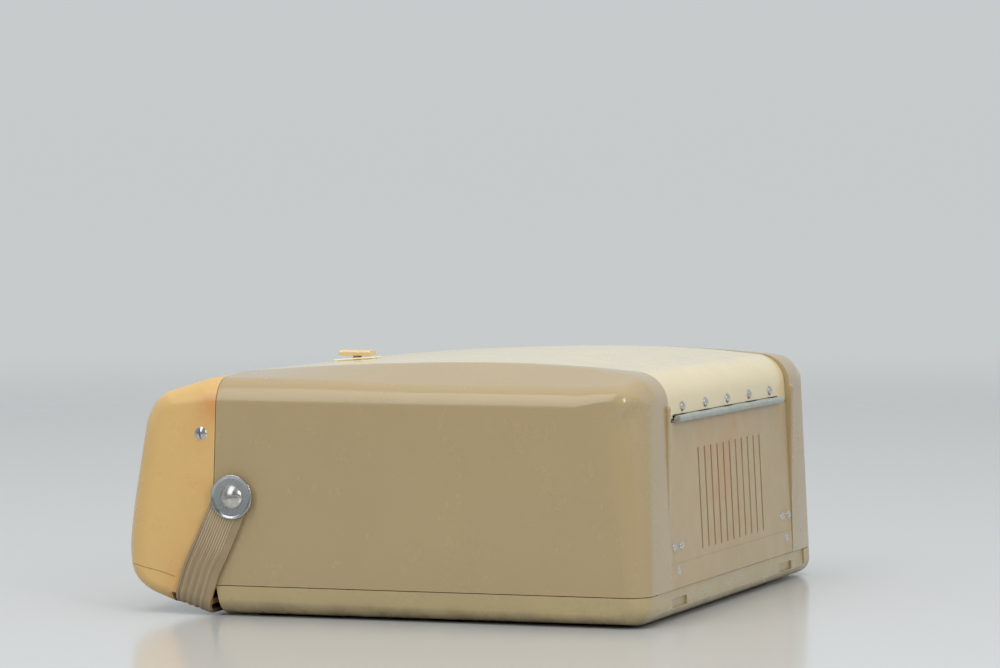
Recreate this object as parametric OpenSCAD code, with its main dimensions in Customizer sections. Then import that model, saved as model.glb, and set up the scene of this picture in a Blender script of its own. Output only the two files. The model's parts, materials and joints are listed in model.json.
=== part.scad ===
// Portable tabletop radio with a record deck under a full-width lid.
// Millimetres, +Z up, the front faces -Y. The origin is under the middle of the body,
// on the surface that the feet stand on.

/* [Case] */
// Width of the case
case_w = 349; // [320:1:370]
// Height of the crown of the lid
crown_h = 140.1; // [136:0.1:144]
// Wall thickness of the moulded casing
wall = 3; // [2.5:0.1:3.4]
// Radius of the front upright corners
front_corner_r = 24; // [16:1:28]
// Radius of the rear upright corners
rear_corner_r = 28; // [20:1:32]
// Width of the lid
lid_w = 250; // [246:1:252]
// Height of the joint between the tray and the side shells
split_h = 16.9; // [14:0.1:20]
// Gap left at each joint between casing pieces
joint_gap = 0.4; // [0.3:0.1:0.6]
// Thickness of the rubber feet
foot_h = 1.2; // [1:0.1:2]

/* [Handle] */
// Distance of the handle pivots behind the origin
pivot_y = -85; // [-88:0.5:-80]
// Height of the handle pivots
pivot_z = 66.3; // [60:0.1:70]
// Width of the strap
strap_w = 21.5; // [18:0.5:24]
// Thickness of the strap
strap_t = 2.4; // [1.6:0.1:2.6]
// Lean of the strap's side runs, forward of straight down
strap_lean = 24; // [20:1:28]

/* [Front] */
// Diameter of the tuning and volume knobs
knob_d = 27; // [22:1:30]
// Distance of each knob from the middle
knob_x = 112; // [100:1:116]
// Number of band keys
key_count = 4; // [3:1:5]
// Width of the dial window
window_w = 160; // [120:2:170]

/* [Deck] */
// Diameter of the platter
platter_d = 170; // [150:1:176]
// Height of the top face of the deck plate
deck_h = 106; // [104:0.5:107]
// Radius of the centre spindle
spindle_r = 3.6; // [3.5:0.05:3.65]
// Distance from the tonearm's pivot to its stylus
arm_reach = 140; // [136:1:142]

/* [Rear] */
// Number of vent slots in the back panel
vent_count = 11; // [7:1:11]
// Distance between vent slots
vent_pitch = 12.6; // [10:0.1:13]
// Number of hinge knuckles
knuckle_count = 9; // [5:2:13]

/* [Hidden] */
$fn = 48;

half_w = case_w / 2;
lid_half = lid_w / 2;
case_bottom = foot_h;
split_gap = joint_gap / 2;

// The crown of the top runs front to back in two large arcs that meet at its crest
crest_y = 51;
front_crown_r = 1670;
rear_crown_r = 800;
function crown_z(y) = crown_h - pow(y - crest_y, 2) / (2 * (y < crest_y ? front_crown_r : rear_crown_r));

// The back leans forward a little, and the front face leans back
rear_foot_y = 153.65;
rear_slope = 0.052;
rear_lean = atan(rear_slope);
function rear_y(z) = rear_foot_y - rear_slope * z;
face_y = -149.75;
face_z = 64.8;
face_slope = 0.17;
face_lean = atan(face_slope);
function face_at(z) = face_y + face_slope * (z - face_z);

// The joint behind the front bezel leans too
seam_foot_y = -99.35;
seam_lean = atan(0.0319);

hinge_y = 150.4;
hinge_z = 109.5;
hinge_r = 2;
hinge_pin_r = 0.9;
hinge_len = 216;
knuckle_len = hinge_len / knuckle_count;

key_pitch = 20;
key_u = 52;
key_v = 18;
knob_v = 31;
window_v = 32;
window_h = 12;
speaker_u = -60;
speaker_v = -4;

platter_y = 25;
platter_r = platter_d / 2;
platter_top = 115;
rim_inner_r = platter_r - 5;
idler_r = 17;
idler_pos = [-58.9, 3.6];
pulley_pos = [-69.05, 21.2];
motor_r = 22;
arm_pivot = [100, 100];
arm_z = 123.5;
running = 0.05;

// ---- outlines ----

function unit(v) = v / norm(v);
function xy(p) = [p[0], p[1]];
function wrapped(a) = a > 180 ? a - 360 : a < -180 ? a + 360 : a;

// Points that round the corner b of the path a, b, c with radius r, in n steps
function corner(a, b, c, r, n) =
    r <= 0 ? [b] :
    let (u = unit(a - b), w = unit(c - b), half = acos(u * w) / 2,
         centre = b + unit(u + w) * r / sin(half),
         first = b + u * r / tan(half) - centre,
         last = b + w * r / tan(half) - centre,
         start = atan2(first[1], first[0]),
         turn = wrapped(atan2(last[1], last[0]) - start))
    [for (i = [0:n]) centre + r * [cos(start + turn * i / n), sin(start + turn * i / n)]];

// Outline of a list of corners [a, b, radius]
function rounded(list, n = 6) =
    let (m = len(list))
    [for (i = [0:m - 1])
        each corner(xy(list[(i + m - 1) % m]), xy(list[i]), xy(list[(i + 1) % m]), list[i][2], n)];

// The same corners moved inward by t; the list runs anticlockwise
function inset(list, t) =
    let (m = len(list))
    [for (i = [0:m - 1])
        let (d1 = unit(xy(list[i]) - xy(list[(i + m - 1) % m])),
             d2 = unit(xy(list[(i + 1) % m]) - xy(list[i])),
             n1 = [-d1[1], d1[0]],
             n2 = [-d2[1], d2[0]],
             p = xy(list[i]) + t * (n1 + n2) / (1 + n1 * n2),
             r = list[i][2])
        [p[0], p[1], r > 0 ? max(r - t, 0.5) : 0]];

// Side view of the case, as [y, z, radius]
side_outline = concat(
    [[-108, case_bottom, 20], [rear_y(case_bottom), case_bottom, 9], [rear_y(134.6), 134.6, 18]],
    [for (y = [110:-16:-74]) [y, crown_z(y), 0]],
    [[-97.9, crown_z(-97.9), 60], [-140.4, 119.5, 24], [-151.3, 55.7, 300], [-154.65, 18.4, 28]]);

// Front view of the case, as [x, z, radius]
top_slope = 0.28;
lower_edge_r = 14;
upper_edge_r = 24;
front_outline = [
    [-half_w, case_bottom, lower_edge_r], [half_w, case_bottom, lower_edge_r],
    [half_w, crown_h + 0.6 - top_slope * (half_w - lid_half), upper_edge_r],
    [lid_half + 1, crown_h + 0.6, 8], [-lid_half - 1, crown_h + 0.6, 8],
    [-half_w, crown_h + 0.6 - top_slope * (half_w - lid_half), upper_edge_r]];

// Plans of the case, square to the back and square to the front face; the far end is open
plan_reach = 500;
rear_plan = [
    [-half_w, -plan_reach, 0], [half_w, -plan_reach, 0],
    [half_w, rear_foot_y + 0.4, rear_corner_r], [-half_w, rear_foot_y + 0.4, rear_corner_r]];
front_plan = [
    [-half_w, face_at(0) - 0.4, front_corner_r], [half_w, face_at(0) - 0.4, front_corner_r],
    [half_w, plan_reach, 0], [-half_w, plan_reach, 0]];

// ---- shared shapes ----

// Extrudes a [y, z] outline along X, centred
module along_x(w) {
    rotate([90, 0, 90])
        linear_extrude(w, center = true) children();
}

// The solid of the whole case, t inside its outer surface
module case_solid(t = 0) {
    intersection() {
        along_x(case_w + 20) polygon(rounded(inset(side_outline, t)));
        rotate([90, 0, 0])
            linear_extrude(2 * plan_reach, center = true) polygon(rounded(inset(front_outline, t)));
        rotate([rear_lean, 0, 0])
            linear_extrude(400, center = true) polygon(rounded(inset(rear_plan, t), 7));
        rotate([-face_lean, 0, 0])
            linear_extrude(400, center = true) polygon(rounded(inset(front_plan, t), 7));
    }
}

// The casing's skin
module case_skin() {
    difference() {
        case_solid();
        case_solid(wall);
    }
}

module block(low, high) {
    translate(low) cube(high - low);
}

// Everything behind the bezel's joint, moved back by d
module behind_seam(d) {
    translate([0, seam_foot_y + d, 0])
        rotate([-seam_lean, 0, 0])
            block([-300, 0, -50], [300, 500, 300]);
}

// Frame on the back surface at height z: local y points out of the back
module on_rear(z) {
    translate([0, rear_y(z), z])
        rotate([rear_lean, 0, 0]) children();
}

// Frame on the front face: local x runs across, y up the face, z out of it
module on_face() {
    translate([0, face_y, face_z])
        rotate([90 - face_lean, 0, 0]) children();
}

module ring(r, bore_r, h) {
    difference() {
        cylinder(r = r, h = h);
        translate([0, 0, -1]) cylinder(r = bore_r, h = h + 2);
    }
}

// A domed head with base radius r and height h, standing on z = 0
module dome(r, h) {
    ball_r = (r * r + h * h) / (2 * h);
    intersection() {
        translate([0, 0, h - ball_r]) sphere(ball_r);
        cylinder(r = r + 1, h = h + 1);
    }
}

// Rivet through a wall of thickness t: head on z = 0, tail below
module rivet(t) {
    dome(2.75, 1.1);
    translate([0, 0, -t - 0.6]) cylinder(r = 1.2, h = t + 0.7);
    translate([0, 0, -t - 1.2]) cylinder(r = 2.2, h = 1.15);
}

module rivet_hole(t) {
    translate([0, 0, -t - 2]) cylinder(r = 1.3, h = t + 4);
}

// ---- casing ----

// Channel under the bezel that takes the strap, its roof raised by t
module strap_channel(t) {
    along_x(case_w + 10)
        polygon([[-120.8 - t, -5], [-120.8 - t, 12.6 + t], [-92, 4 + t], [-92, -5]]);
}

grille_low = -27;
grille_high = 8;
grille_pitch = 7;
grille_reach = 119;
slot_w = 2.6;

module grille_slots() {
    for (u = [-grille_reach:grille_pitch:grille_reach])
        translate([u - slot_w / 2, grille_low, -12]) cube([slot_w, grille_high - grille_low, 16]);
}

function key_pos(i) = key_u + (i - (key_count - 1) / 2) * key_pitch;
key_size = [18, 8];
key_clear = 0.3;

ledge_z = [127.2, 130];

module front_bezel() {
    color([0.80, 0.66, 0.42])
    difference() {
        union() {
            difference() {
                case_skin();
                behind_seam(-split_gap);
            }
            // The skin that backs the strap channel
            intersection() {
                case_solid();
                difference() {
                    strap_channel(wall);
                    behind_seam(-split_gap);
                }
            }
            // Ledge under the lid's front edge, and the front wall of the record well
            block([-lid_half + 1, -104, ledge_z[0]], [lid_half - 1, -91, ledge_z[1]]);
            block([-lid_half + 1, -101.5, deck_h + 0.4], [lid_half - 1, -99, ledge_z[0] + 1]);
        }
        strap_channel(0);
        grip_run(0.35);
        on_face() {
            grille_slots();
            translate([-window_w / 2, window_v - window_h / 2, -6]) cube([window_w, window_h, 12]);
            for (s = [-1, 1])
                translate([s * knob_x, knob_v, -8]) cylinder(r = 4, h = 12);
            for (i = [0:key_count - 1])
                translate([key_pos(i) - key_size[0] / 2 - key_clear, key_v - key_size[1] / 2 - key_clear, -8])
                    cube([key_size[0] + 2 * key_clear, key_size[1] + 2 * key_clear, 12]);
        }
        for (s = [-1, 1])
            translate([s * half_w, -104.75, 100.8])
                rotate([0, s * 90, 0]) rivet_hole(wall);
    }
}

fin_top = 118.6;
fin_t = 4;

// The fin beside the back panel, which guards the hinge
module rear_fin() {
    fin_foot_y = 152.7;
    translate([lid_half + joint_gap + fin_t / 2, 0, 0])
        along_x(fin_t)
            polygon(rounded([[rear_y(22) - 4, 22, 0], [rear_y(22) - 0.5, 22, 0],
                [fin_foot_y - 0.01 * fin_top, fin_top, 3], [rear_y(fin_top) - 4, fin_top, 0]]));
}

shelf_z = deck_h - 2;

// The side shell on the +X side
module side_shell() {
    wall_x = lid_half + joint_gap;
    difference() {
        union() {
            intersection() {
                case_skin();
                behind_seam(split_gap);
                block([wall_x, -150, split_h + split_gap], [half_w + 5, 200, 200]);
            }
            // The well's side wall, and the shelf that carries the deck
            intersection() {
                case_solid(0.5);
                behind_seam(split_gap);
                union() {
                    block([wall_x, -150, shelf_z - 4], [wall_x + 2.4, 200, 200]);
                    block([wall_x - 7, -88, shelf_z - 4], [wall_x + 2.4, 136, shelf_z - 0.1]);
                }
            }
            rear_fin();
        }
        translate([half_w, pivot_y, pivot_z])
            rotate([0, -90, 0]) translate([0, 0, -5]) cylinder(r = 4.1, h = 15);
        for (y = [-80, 128])
            translate([lid_half - 3.5, y, shelf_z - 8]) cylinder(r = 1.7, h = 12);
    }
}

module side_shell_right() {
    color([0.64, 0.58, 0.44]) side_shell();
}

module side_shell_left() {
    color([0.64, 0.58, 0.44]) mirror([1, 0, 0]) side_shell();
}

tray_top = split_h - split_gap;
tray_recess = 0.9;

module bottom_tray() {
    front = [[-95.85, tray_top], [-92.85, case_bottom]];
    module beyond_front(d) {
        along_x(case_w + 10)
            polygon([[front[0][0] + d, 30], [front[0][0] + d, tray_top], [front[1][0] + d, case_bottom],
                [front[1][0] + d, -10], [200, -10], [200, 30]]);
    }
    color([0.62, 0.57, 0.43])
    difference() {
        intersection() {
            difference() {
                case_solid();
                intersection() {
                    case_solid(wall);
                    beyond_front(2.5);
                }
            }
            beyond_front(0);
            block([-200, -150, -5], [200, 200, tray_top]);
        }
        // The back is recessed between the corners, with a pocket near each end
        on_rear(0)
            block([-150, -tray_recess, -5], [150, 10, 40]);
        for (s = [-1, 1])
            translate([s * 109.6, rear_y(9.5), 9.5])
                cube([28.2, 2 * 2.2, 5], center = true);
        for (p = foot_places)
            translate([p[0], p[1], -5]) cylinder(r = 2.6, h = 15);
        for (p = chassis_bolts)
            translate([p[0], p[1], -5]) cylinder(r = 1.6, h = 15);
    }
}

foot_places = [[-140, -75], [140, -75], [-140, 122], [140, 122]];

module rubber_feet() {
    color([0.16, 0.15, 0.14])
    for (p = foot_places)
        translate([p[0], p[1], 0]) {
            difference() {
                cylinder(r1 = 8.6, r2 = 9, h = foot_h);
                translate([0, 0, -1]) cylinder(r = 1.5, h = foot_h + 0.6);
            }
            cylinder(r = 2.5, h = foot_h + wall);
            translate([0, 0, foot_h + wall + 0.1]) cylinder(r = 4, h = 1.2);
            translate([0, 0, foot_h + wall - 0.1]) cylinder(r = 2.5, h = 0.4);
        }
}

panel_half = lid_half + 0.1;
panel_top = 107.4;
vent_low = 34.3;
vent_high = 91.5;
vent_w = 2.5;
rivet_row = [[104.6, 39.9], [118, 39.9], [111.3, 26.3]];

module back_panel() {
    color([0.66, 0.60, 0.49])
    difference() {
        intersection() {
            case_skin();
            block([-panel_half, 120, split_h + split_gap], [panel_half, 200, panel_top]);
        }
        for (i = [0:vent_count - 1])
            translate([(i - (vent_count - 1) / 2) * vent_pitch - vent_w / 2, 120, vent_low])
                cube([vent_w, 60, vent_high - vent_low]);
        for (s = [-1, 1])
            for (p = rivet_row)
                on_rear(p[1]) translate([s * p[0], 0, 0]) rotate([-90, 0, 0]) rivet_hole(wall);
    }
}

module back_rivets() {
    color([0.74, 0.74, 0.72])
    for (s = [-1, 1])
        for (p = rivet_row)
            on_rear(p[1]) translate([s * p[0], 0, 0]) rotate([-90, 0, 0]) rivet(wall);
}

// The slotted screws that hold the bezel to the side shells
module bezel_screws() {
    color([0.72, 0.72, 0.70])
    for (s = [-1, 1])
        translate([s * half_w, -104.75, 100.8])
            rotate([0, s * 90, 0])
                difference() {
                    union() {
                        dome(3.75, 1.3);
                        translate([0, 0, -7]) cylinder(r = 1.2, h = 7.1);
                    }
                    rotate([0, 0, 8]) translate([-5, -0.4, 0.5]) cube([10, 0.8, 3]);
                }
}

// ---- lid ----

lid_rivet_z = 115.8;
lid_rivet_x = [-90, -45, 0, 45, 90];
notch_half = 108.4;
notch_z = 111.6;
latch_y = -79.35;
slot_travel = 4;

module lid() {
    color([0.89, 0.84, 0.68])
    difference() {
        intersection() {
            case_skin();
            behind_seam(split_gap);
            block([-lid_half, -150, 109.4], [lid_half, 200, 200]);
        }
        block([-notch_half, 130, 100], [notch_half, 170, notch_z]);
        for (x = lid_rivet_x)
            on_rear(lid_rivet_z) translate([x, 0, 0]) rotate([-90, 0, 0]) rivet_hole(wall);
        translate([0, latch_y + slot_travel / 2, 120]) cube([5, 4 + slot_travel + 1, 40], center = true);
    }
}

module lid_rivets() {
    color([0.74, 0.74, 0.72])
    for (x = lid_rivet_x)
        on_rear(lid_rivet_z) translate([x, 0, 0]) rotate([-90, 0, 0]) rivet(wall + leaf_t);
}

// Rubber buffers inside the lid
module lid_buffers() {
    color([0.16, 0.15, 0.14])
    for (s = [-1, 1])
        translate([s * 118, -60, crown_z(-60) - wall - 3.5]) cylinder(r = 4, h = 3.15);
}

leaf_t = 0.8;

module knuckle(i) {
    gap = 0.3;
    translate([-hinge_len / 2 + i * knuckle_len + gap / 2, hinge_y, hinge_z])
        rotate([0, 90, 0]) ring(hinge_r, hinge_pin_r + running, knuckle_len - gap);
}

// A tongue that joins knuckle i to its leaf, at height z
module tongue(i, z) {
    gap = 0.3;
    x = -hinge_len / 2 + i * knuckle_len + gap / 2;
    block([x, 144, z], [x + knuckle_len - gap, hinge_y, z + leaf_t]);
}

module hinge_leaf_fixed() {
    color([0.56, 0.58, 0.55]) {
        for (i = [0:2:knuckle_count - 1]) {
            knuckle(i);
            tongue(i, hinge_z - 1.9);
        }
        on_rear(panel_top)
            block([-hinge_len / 2, -wall - 0.05 - leaf_t, -11], [hinge_len / 2, -wall - 0.05, 1]);
    }
}

module hinge_leaf_moving() {
    color([0.56, 0.58, 0.55])
    difference() {
        union() {
            for (i = [1:2:knuckle_count - 2]) {
                knuckle(i);
                tongue(i, hinge_z + 1.1);
            }
            on_rear(notch_z)
                block([-hinge_len / 2, -wall - 0.05 - leaf_t, -0.95], [hinge_len / 2, -wall - 0.05, 6.6]);
        }
        for (x = lid_rivet_x)
            on_rear(lid_rivet_z) translate([x, 0, 0]) rotate([-90, 0, 0]) rivet_hole(wall + leaf_t);
    }
}

module hinge_pin() {
    color([0.62, 0.63, 0.60])
    translate([-hinge_len / 2, hinge_y, hinge_z])
        rotate([0, 90, 0]) cylinder(r = hinge_pin_r, h = hinge_len);
}

latch_len = 21;

// The pale plate on the lid under the latch
module latch_base() {
    color([0.92, 0.88, 0.74])
    difference() {
        translate([0, latch_y, crown_z(latch_y) + 0.75])
            rotate([atan((latch_y - crest_y) / front_crown_r) * -1, 0, 0])
                cube([14, latch_len + 5, 1], center = true);
        translate([0, latch_y + slot_travel / 2, 130]) cube([5, 4 + slot_travel + 1, 40], center = true);
    }
}

// The thumb bar, with a stem through the lid and a nose that faces the bezel's ledge
module latch_slider() {
    top = crown_z(latch_y);
    color([0.85, 0.75, 0.56]) {
        translate([0, latch_y, top + 2])
            rotate([90, 0, 0])
                linear_extrude(latch_len - 1, center = true)
                    polygon(rounded([[-4.6, 0.5, 0.5], [4.6, 0.5, 0.5], [5.6, 3.6, 1.2], [-5.6, 3.6, 1.2]], 4));
        translate([-2, latch_y - 2, top - 9]) cube([4, 4, 11.7]);
        translate([-5, latch_y - 11, top - 11]) cube([10, 13, 2.1]);
    }
}

// ---- handle ----

strap_in = half_w + 0.4;
arm_len = 45.6;
stud_r = 4;
grip_at = [-108.05, 5.2];
grip_tilt = 17.3;

module pivot_studs() {
    color([0.60, 0.60, 0.58])
    for (s = [-1, 1])
        translate([s * (half_w - wall - 2.5), pivot_y, pivot_z])
            rotate([0, s * 90, 0])
                difference() {
                    union() {
                        cylinder(r = 8, h = 2.4);
                        cylinder(r = stud_r, h = 2.5 + wall + 0.4 + strap_t + 0.1);
                    }
                    translate([0, 0, 1]) cylinder(r = 2.05, h = 20);
                }
}

washer_in = half_w + 0.4 + strap_t + 0.15;

module pivot_washers() {
    color([0.76, 0.77, 0.75])
    for (s = [-1, 1])
        translate([s * washer_in, pivot_y, pivot_z])
            rotate([0, s * 90, 0])
                difference() {
                    cylinder(r = 12.3, h = 1.5);
                    translate([0, 0, -1]) cylinder(r = 2.2, h = 4);
                    translate([0, 0, 0.9]) cylinder(r1 = 10.6, r2 = 11.4, h = 1);
                }
}

module pivot_screws() {
    color([0.80, 0.80, 0.78])
    for (s = [-1, 1])
        translate([s * (washer_in + 0.95), pivot_y, pivot_z])
            rotate([0, s * 90, 0])
                difference() {
                    union() {
                        dome(6, 2.6);
                        translate([0, 0, -7]) cylinder(r = 2, h = 7.2);
                    }
                    rotate([0, 0, 96]) translate([-7, -0.5, 1.5]) cube([14, 1, 3]);
                }
}

// Frame at the pivot with local y pointing up along the strap's side run
module strap_run() {
    translate([0, pivot_y, pivot_z])
        rotate([-strap_lean, 0, 0]) children();
}

module handle_arm() {
    translate([strap_in, 0, 0])
        difference() {
            union() {
                translate([0, pivot_y, pivot_z])
                    rotate([0, 90, 0]) cylinder(r = strap_w / 2, h = strap_t);
                strap_run() block([0, -strap_w / 2, -arm_len], [strap_t, strap_w / 2, 0]);
            }
            translate([-1, pivot_y, pivot_z])
                rotate([0, 90, 0]) cylinder(r = stud_r + running, h = strap_t + 2);
        }
}

module handle_arm_right() {
    color([0.56, 0.51, 0.41]) handle_arm();
}

module handle_arm_left() {
    color([0.56, 0.51, 0.41]) mirror([1, 0, 0]) handle_arm();
}

bend_r = 9;

// The strap's run under the case and its two upturned ends, grown by t
module grip_run(t) {
    outer = strap_in + strap_t + t;
    inner = strap_in - t;
    translate([0, grip_at[0], grip_at[1]])
        rotate([-grip_tilt, 0, 0])
            rotate([90, 0, 0])
                linear_extrude(strap_w + 2 * t, center = true)
                    polygon(rounded([[-outer, -t, bend_r + t], [outer, -t, bend_r + t], [outer, 26, 0],
                        [inner, 26, 0], [inner, strap_t + t, bend_r - strap_t - t],
                        [-inner, strap_t + t, bend_r - strap_t - t], [-inner, 26, 0], [-outer, 26, 0]]));
}

module handle_grip() {
    color([0.56, 0.51, 0.41])
    difference() {
        grip_run(0);
        strap_run() block([-200, -40, -arm_len - 0.3], [200, 40, 20]);
    }
}

// ---- sound ----

baffle_w = -12.3;

module speaker_baffle() {
    color([0.48, 0.36, 0.24])
    on_face()
        difference() {
            translate([speaker_u - 39, -38, baffle_w]) cube([81, 70, 2.5]);
            translate([speaker_u, speaker_v, baffle_w - 1]) cylinder(r = 32, h = 5);
        }
}

module speaker_basket() {
    color([0.35, 0.36, 0.36])
    on_face() translate([speaker_u, speaker_v, baffle_w - 0.05])
        difference() {
            union() {
                translate([0, 0, -1.5]) cylinder(r = 37, h = 1.5);
                translate([0, 0, -22]) cylinder(r1 = 17, r2 = 34, h = 20.6);
            }
            translate([0, 0, -20.6]) cylinder(r1 = 16.5, r2 = 33, h = 20.7);
            translate([0, 0, -1.6]) cylinder(r = 33, h = 4);
            translate([0, 0, -23]) cylinder(r = 9.5, h = 5);
            for (a = [0:60:179])
                rotate([0, 0, a]) translate([-50, -8, -17]) cube([100, 16, 12]);
        }
}

module speaker_cone() {
    color([0.20, 0.18, 0.16])
    on_face() translate([speaker_u, speaker_v, baffle_w - 2])
        rotate_extrude()
            polygon([[6.8, -23], [8.4, -23], [8.4, -14], [28.9, -0.4], [29.9, -0.4], [29.9, 0.2], [28.5, 0.2],
                [8, -13.2], [0, -11], [0, -12], [6.8, -14]]);
}

module speaker_magnet() {
    color([0.42, 0.43, 0.44])
    on_face() translate([speaker_u, speaker_v, baffle_w - 22.1 - 16])
        difference() {
            cylinder(r = 16, h = 16);
            translate([0, 0, 4]) ring(9.4, 5.8, 13);
        }
}

module grille_cloth() {
    color([0.55, 0.46, 0.30])
    on_face() translate([-122, -29, -6.4]) cube([244, 41, 0.4]);
}

// ---- dial and controls ----

module dial_window() {
    color([0.9, 0.92, 0.9, 0.5])
    on_face()
        translate([-window_w / 2 + 0.2, window_v - window_h / 2 + 0.2, -2.6])
            cube([window_w - 0.4, window_h - 0.4, 2]);
}

module dial_plate() {
    color([0.90, 0.86, 0.74])
    on_face()
        difference() {
            translate([-window_w / 2 - 4, window_v - 7.5, -6.4]) cube([window_w + 8, 15, 0.8]);
            // The scale's tick marks
            for (u = [-70:10:70])
                translate([u - 0.3, window_v - 4, -5.8]) cube([0.6, 3, 1]);
            for (u = [-70:5:70])
                translate([u - 0.2, window_v + 2, -5.8]) cube([0.4, 2, 1]);
        }
}

rail_v = 42.5;

module dial_rail() {
    color([0.7, 0.7, 0.68])
    on_face()
        translate([-window_w / 2 - 4, rail_v, -8.5]) rotate([0, 90, 0]) cylinder(r = 1, h = window_w + 8);
}

module dial_pointer() {
    color([0.72, 0.16, 0.10])
    on_face()
        difference() {
            union() {
                translate([-0.6, window_v - 5.5, -5]) cube([1.2, rail_v - window_v + 5.5, 0.8]);
                translate([-0.6, rail_v - 0.8, -8.5]) cube([1.2, 0.8, 4.3]);
                translate([-4, rail_v, -8.5]) rotate([0, 90, 0]) cylinder(r = 2, h = 8);
            }
            translate([-5, rail_v, -8.5]) rotate([0, 90, 0]) cylinder(r = 1 + running, h = 10);
        }
}

shaft_r = 3;
flute_count = 24;

module knob() {
    difference() {
        cylinder(r = knob_d / 2, h = 5.2);
        for (i = [0:flute_count - 1])
            rotate([0, 0, i * 360 / flute_count])
                translate([knob_d / 2 + 0.5, 0, 1]) cylinder(r = 1.1, h = 6);
        translate([0, 0, 4.4]) cylinder(r = 8.5, h = 2);
        translate([0, 0, -1]) cylinder(r = shaft_r + running, h = 4.4);
    }
    translate([0, 8.5, 4.3]) cylinder(r = 0.9, h = 0.7);
}

module tuning_knob() {
    color([0.86, 0.80, 0.64])
    on_face() translate([knob_x, knob_v, 0.8]) knob();
}

module volume_knob() {
    color([0.86, 0.80, 0.64])
    on_face() translate([-knob_x, knob_v, 0.8]) knob();
}

module tuning_shaft() {
    color([0.72, 0.66, 0.40])
    on_face() translate([knob_x, knob_v, -33]) cylinder(r = shaft_r, h = 36.6);
}

module volume_shaft() {
    color([0.72, 0.66, 0.40])
    on_face() translate([-knob_x, knob_v, -20]) cylinder(r = shaft_r, h = 23.6);
}

module volume_control() {
    color([0.50, 0.51, 0.50])
    on_face() translate([-knob_x, knob_v, -24])
        difference() {
            union() {
                cylinder(r = 12, h = 14);
                cylinder(r = 5.5, h = 20.5);
            }
            translate([0, 0, 3]) cylinder(r = shaft_r + running, h = 20);
            translate([0, 0, 2]) cylinder(r = 6, h = 3);
        }
}

cap_depth = 28;
plate_pitch = 3;
rotor_plates = 8;

// The variable capacitor: its frame and its fixed plates
module capacitor_frame() {
    color([0.66, 0.66, 0.62])
    on_face() translate([knob_x, knob_v, -30 - cap_depth - 4])
        difference() {
            union() {
                translate([-16, -16, 0]) cube([32, 30, 2]);
                translate([-16, -16, cap_depth + 2]) cube([32, 30, 2]);
                translate([-16, -16, 0]) cube([32, 2, cap_depth + 4]);
                cylinder(r = 5.5, h = 4);
                translate([0, 0, cap_depth]) cylinder(r = 5.5, h = 8);
                for (i = [0:rotor_plates])
                    translate([-14, -15, 3.4 + i * plate_pitch]) cube([28, 10, 0.6]);
            }
            translate([0, 0, -1]) cylinder(r = 2 + running, h = 6);
            translate([0, 0, cap_depth - 1]) cylinder(r = shaft_r + running, h = 12);
        }
}

module capacitor_rotor() {
    color([0.76, 0.76, 0.74])
    on_face() translate([knob_x, knob_v, -30 - cap_depth - 4]) {
        translate([0, 0, 0.5]) cylinder(r = 2, h = cap_depth - 1.2);
        for (i = [0:rotor_plates - 1])
            translate([0, 0, 4.9 + i * plate_pitch])
                intersection() {
                    cylinder(r = 12.5, h = 0.6);
                    translate([-1, -13, 0]) cube([14, 26, 1]);
                }
    }
}

key_stem = 4;

module band_key(i) {
    color([0.90, 0.87, 0.76])
    on_face() translate([key_pos(i), key_v, 0]) {
        translate([0, 0, -4.5])
            linear_extrude(8.4)
                polygon(rounded([for (c = [[-1, -1], [1, -1], [1, 1], [-1, 1]])
                    [c[0] * key_size[0] / 2, c[1] * key_size[1] / 2, 1]], 3));
        translate([-key_stem / 2, -key_stem / 2, -24]) cube([key_stem, key_stem, 20]);
    }
}

module band_key_1() {
    band_key(0);
}

module band_key_2() {
    band_key(1);
}

module band_key_3() {
    band_key(2);
}

module band_key_4() {
    band_key(3);
}

// The switch bank that the keys' stems run into
module key_bank() {
    color([0.42, 0.30, 0.20])
    on_face()
        difference() {
            translate([key_u - 42, key_v - 7, -38]) cube([84, 14, 22]);
            for (i = [0:key_count - 1])
                translate([key_pos(i) - key_stem / 2 - 0.3, key_v - key_stem / 2 - 0.3, -30])
                    cube([key_stem + 0.6, key_stem + 0.6, 20]);
        }
}

// ---- record deck ----

deck_bolts = [for (x = [-1, 1]) for (y = [-80, 128]) [x * (lid_half - 3.5), y]];
lever_pos = [-108, -70];

module deck_plate() {
    color([0.78, 0.72, 0.58])
    difference() {
        block([-lid_half + 0.1, -97.4, deck_h - 2], [lid_half - 0.1, 141, deck_h]);
        translate([0, platter_y, deck_h - 4]) cylinder(r = 10.2, h = 8);
        translate([pulley_pos[0], pulley_pos[1], deck_h - 4]) cylinder(r = 4, h = 8);
        translate([idler_pos[0], idler_pos[1], deck_h - 4]) cylinder(r = 2.05, h = 8);
        translate([arm_pivot[0], arm_pivot[1], deck_h - 4]) cylinder(r = 5 + running, h = 8);
        translate([lever_pos[0], lever_pos[1], deck_h - 4]) cylinder(r = 3 + running, h = 8);
        for (p = deck_bolts)
            translate([p[0], p[1], deck_h - 4]) cylinder(r = 1.7, h = 8);
    }
}

module deck_screws() {
    color([0.74, 0.74, 0.72])
    for (p = deck_bolts)
        translate([p[0], p[1], deck_h])
            difference() {
                union() {
                    dome(3.2, 1.4);
                    translate([0, 0, -7]) cylinder(r = 1.5, h = 7.1);
                }
                translate([-5, -0.4, 0.7]) cube([10, 0.8, 2]);
            }
}

hub_r = 9;
shaft_in_hub_r = 3.4;
mat_top = platter_top + 1.22;

module platter() {
    color([0.70, 0.68, 0.62])
    translate([0, platter_y, 0])
        difference() {
            translate([0, 0, deck_h + 2.5]) cylinder(r = platter_r, h = platter_top - deck_h - 2.5);
            translate([0, 0, deck_h]) ring(rim_inner_r, hub_r, platter_top - deck_h - 2);
            translate([0, 0, deck_h]) cylinder(r = shaft_in_hub_r + running, h = 20);
        }
}

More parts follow.
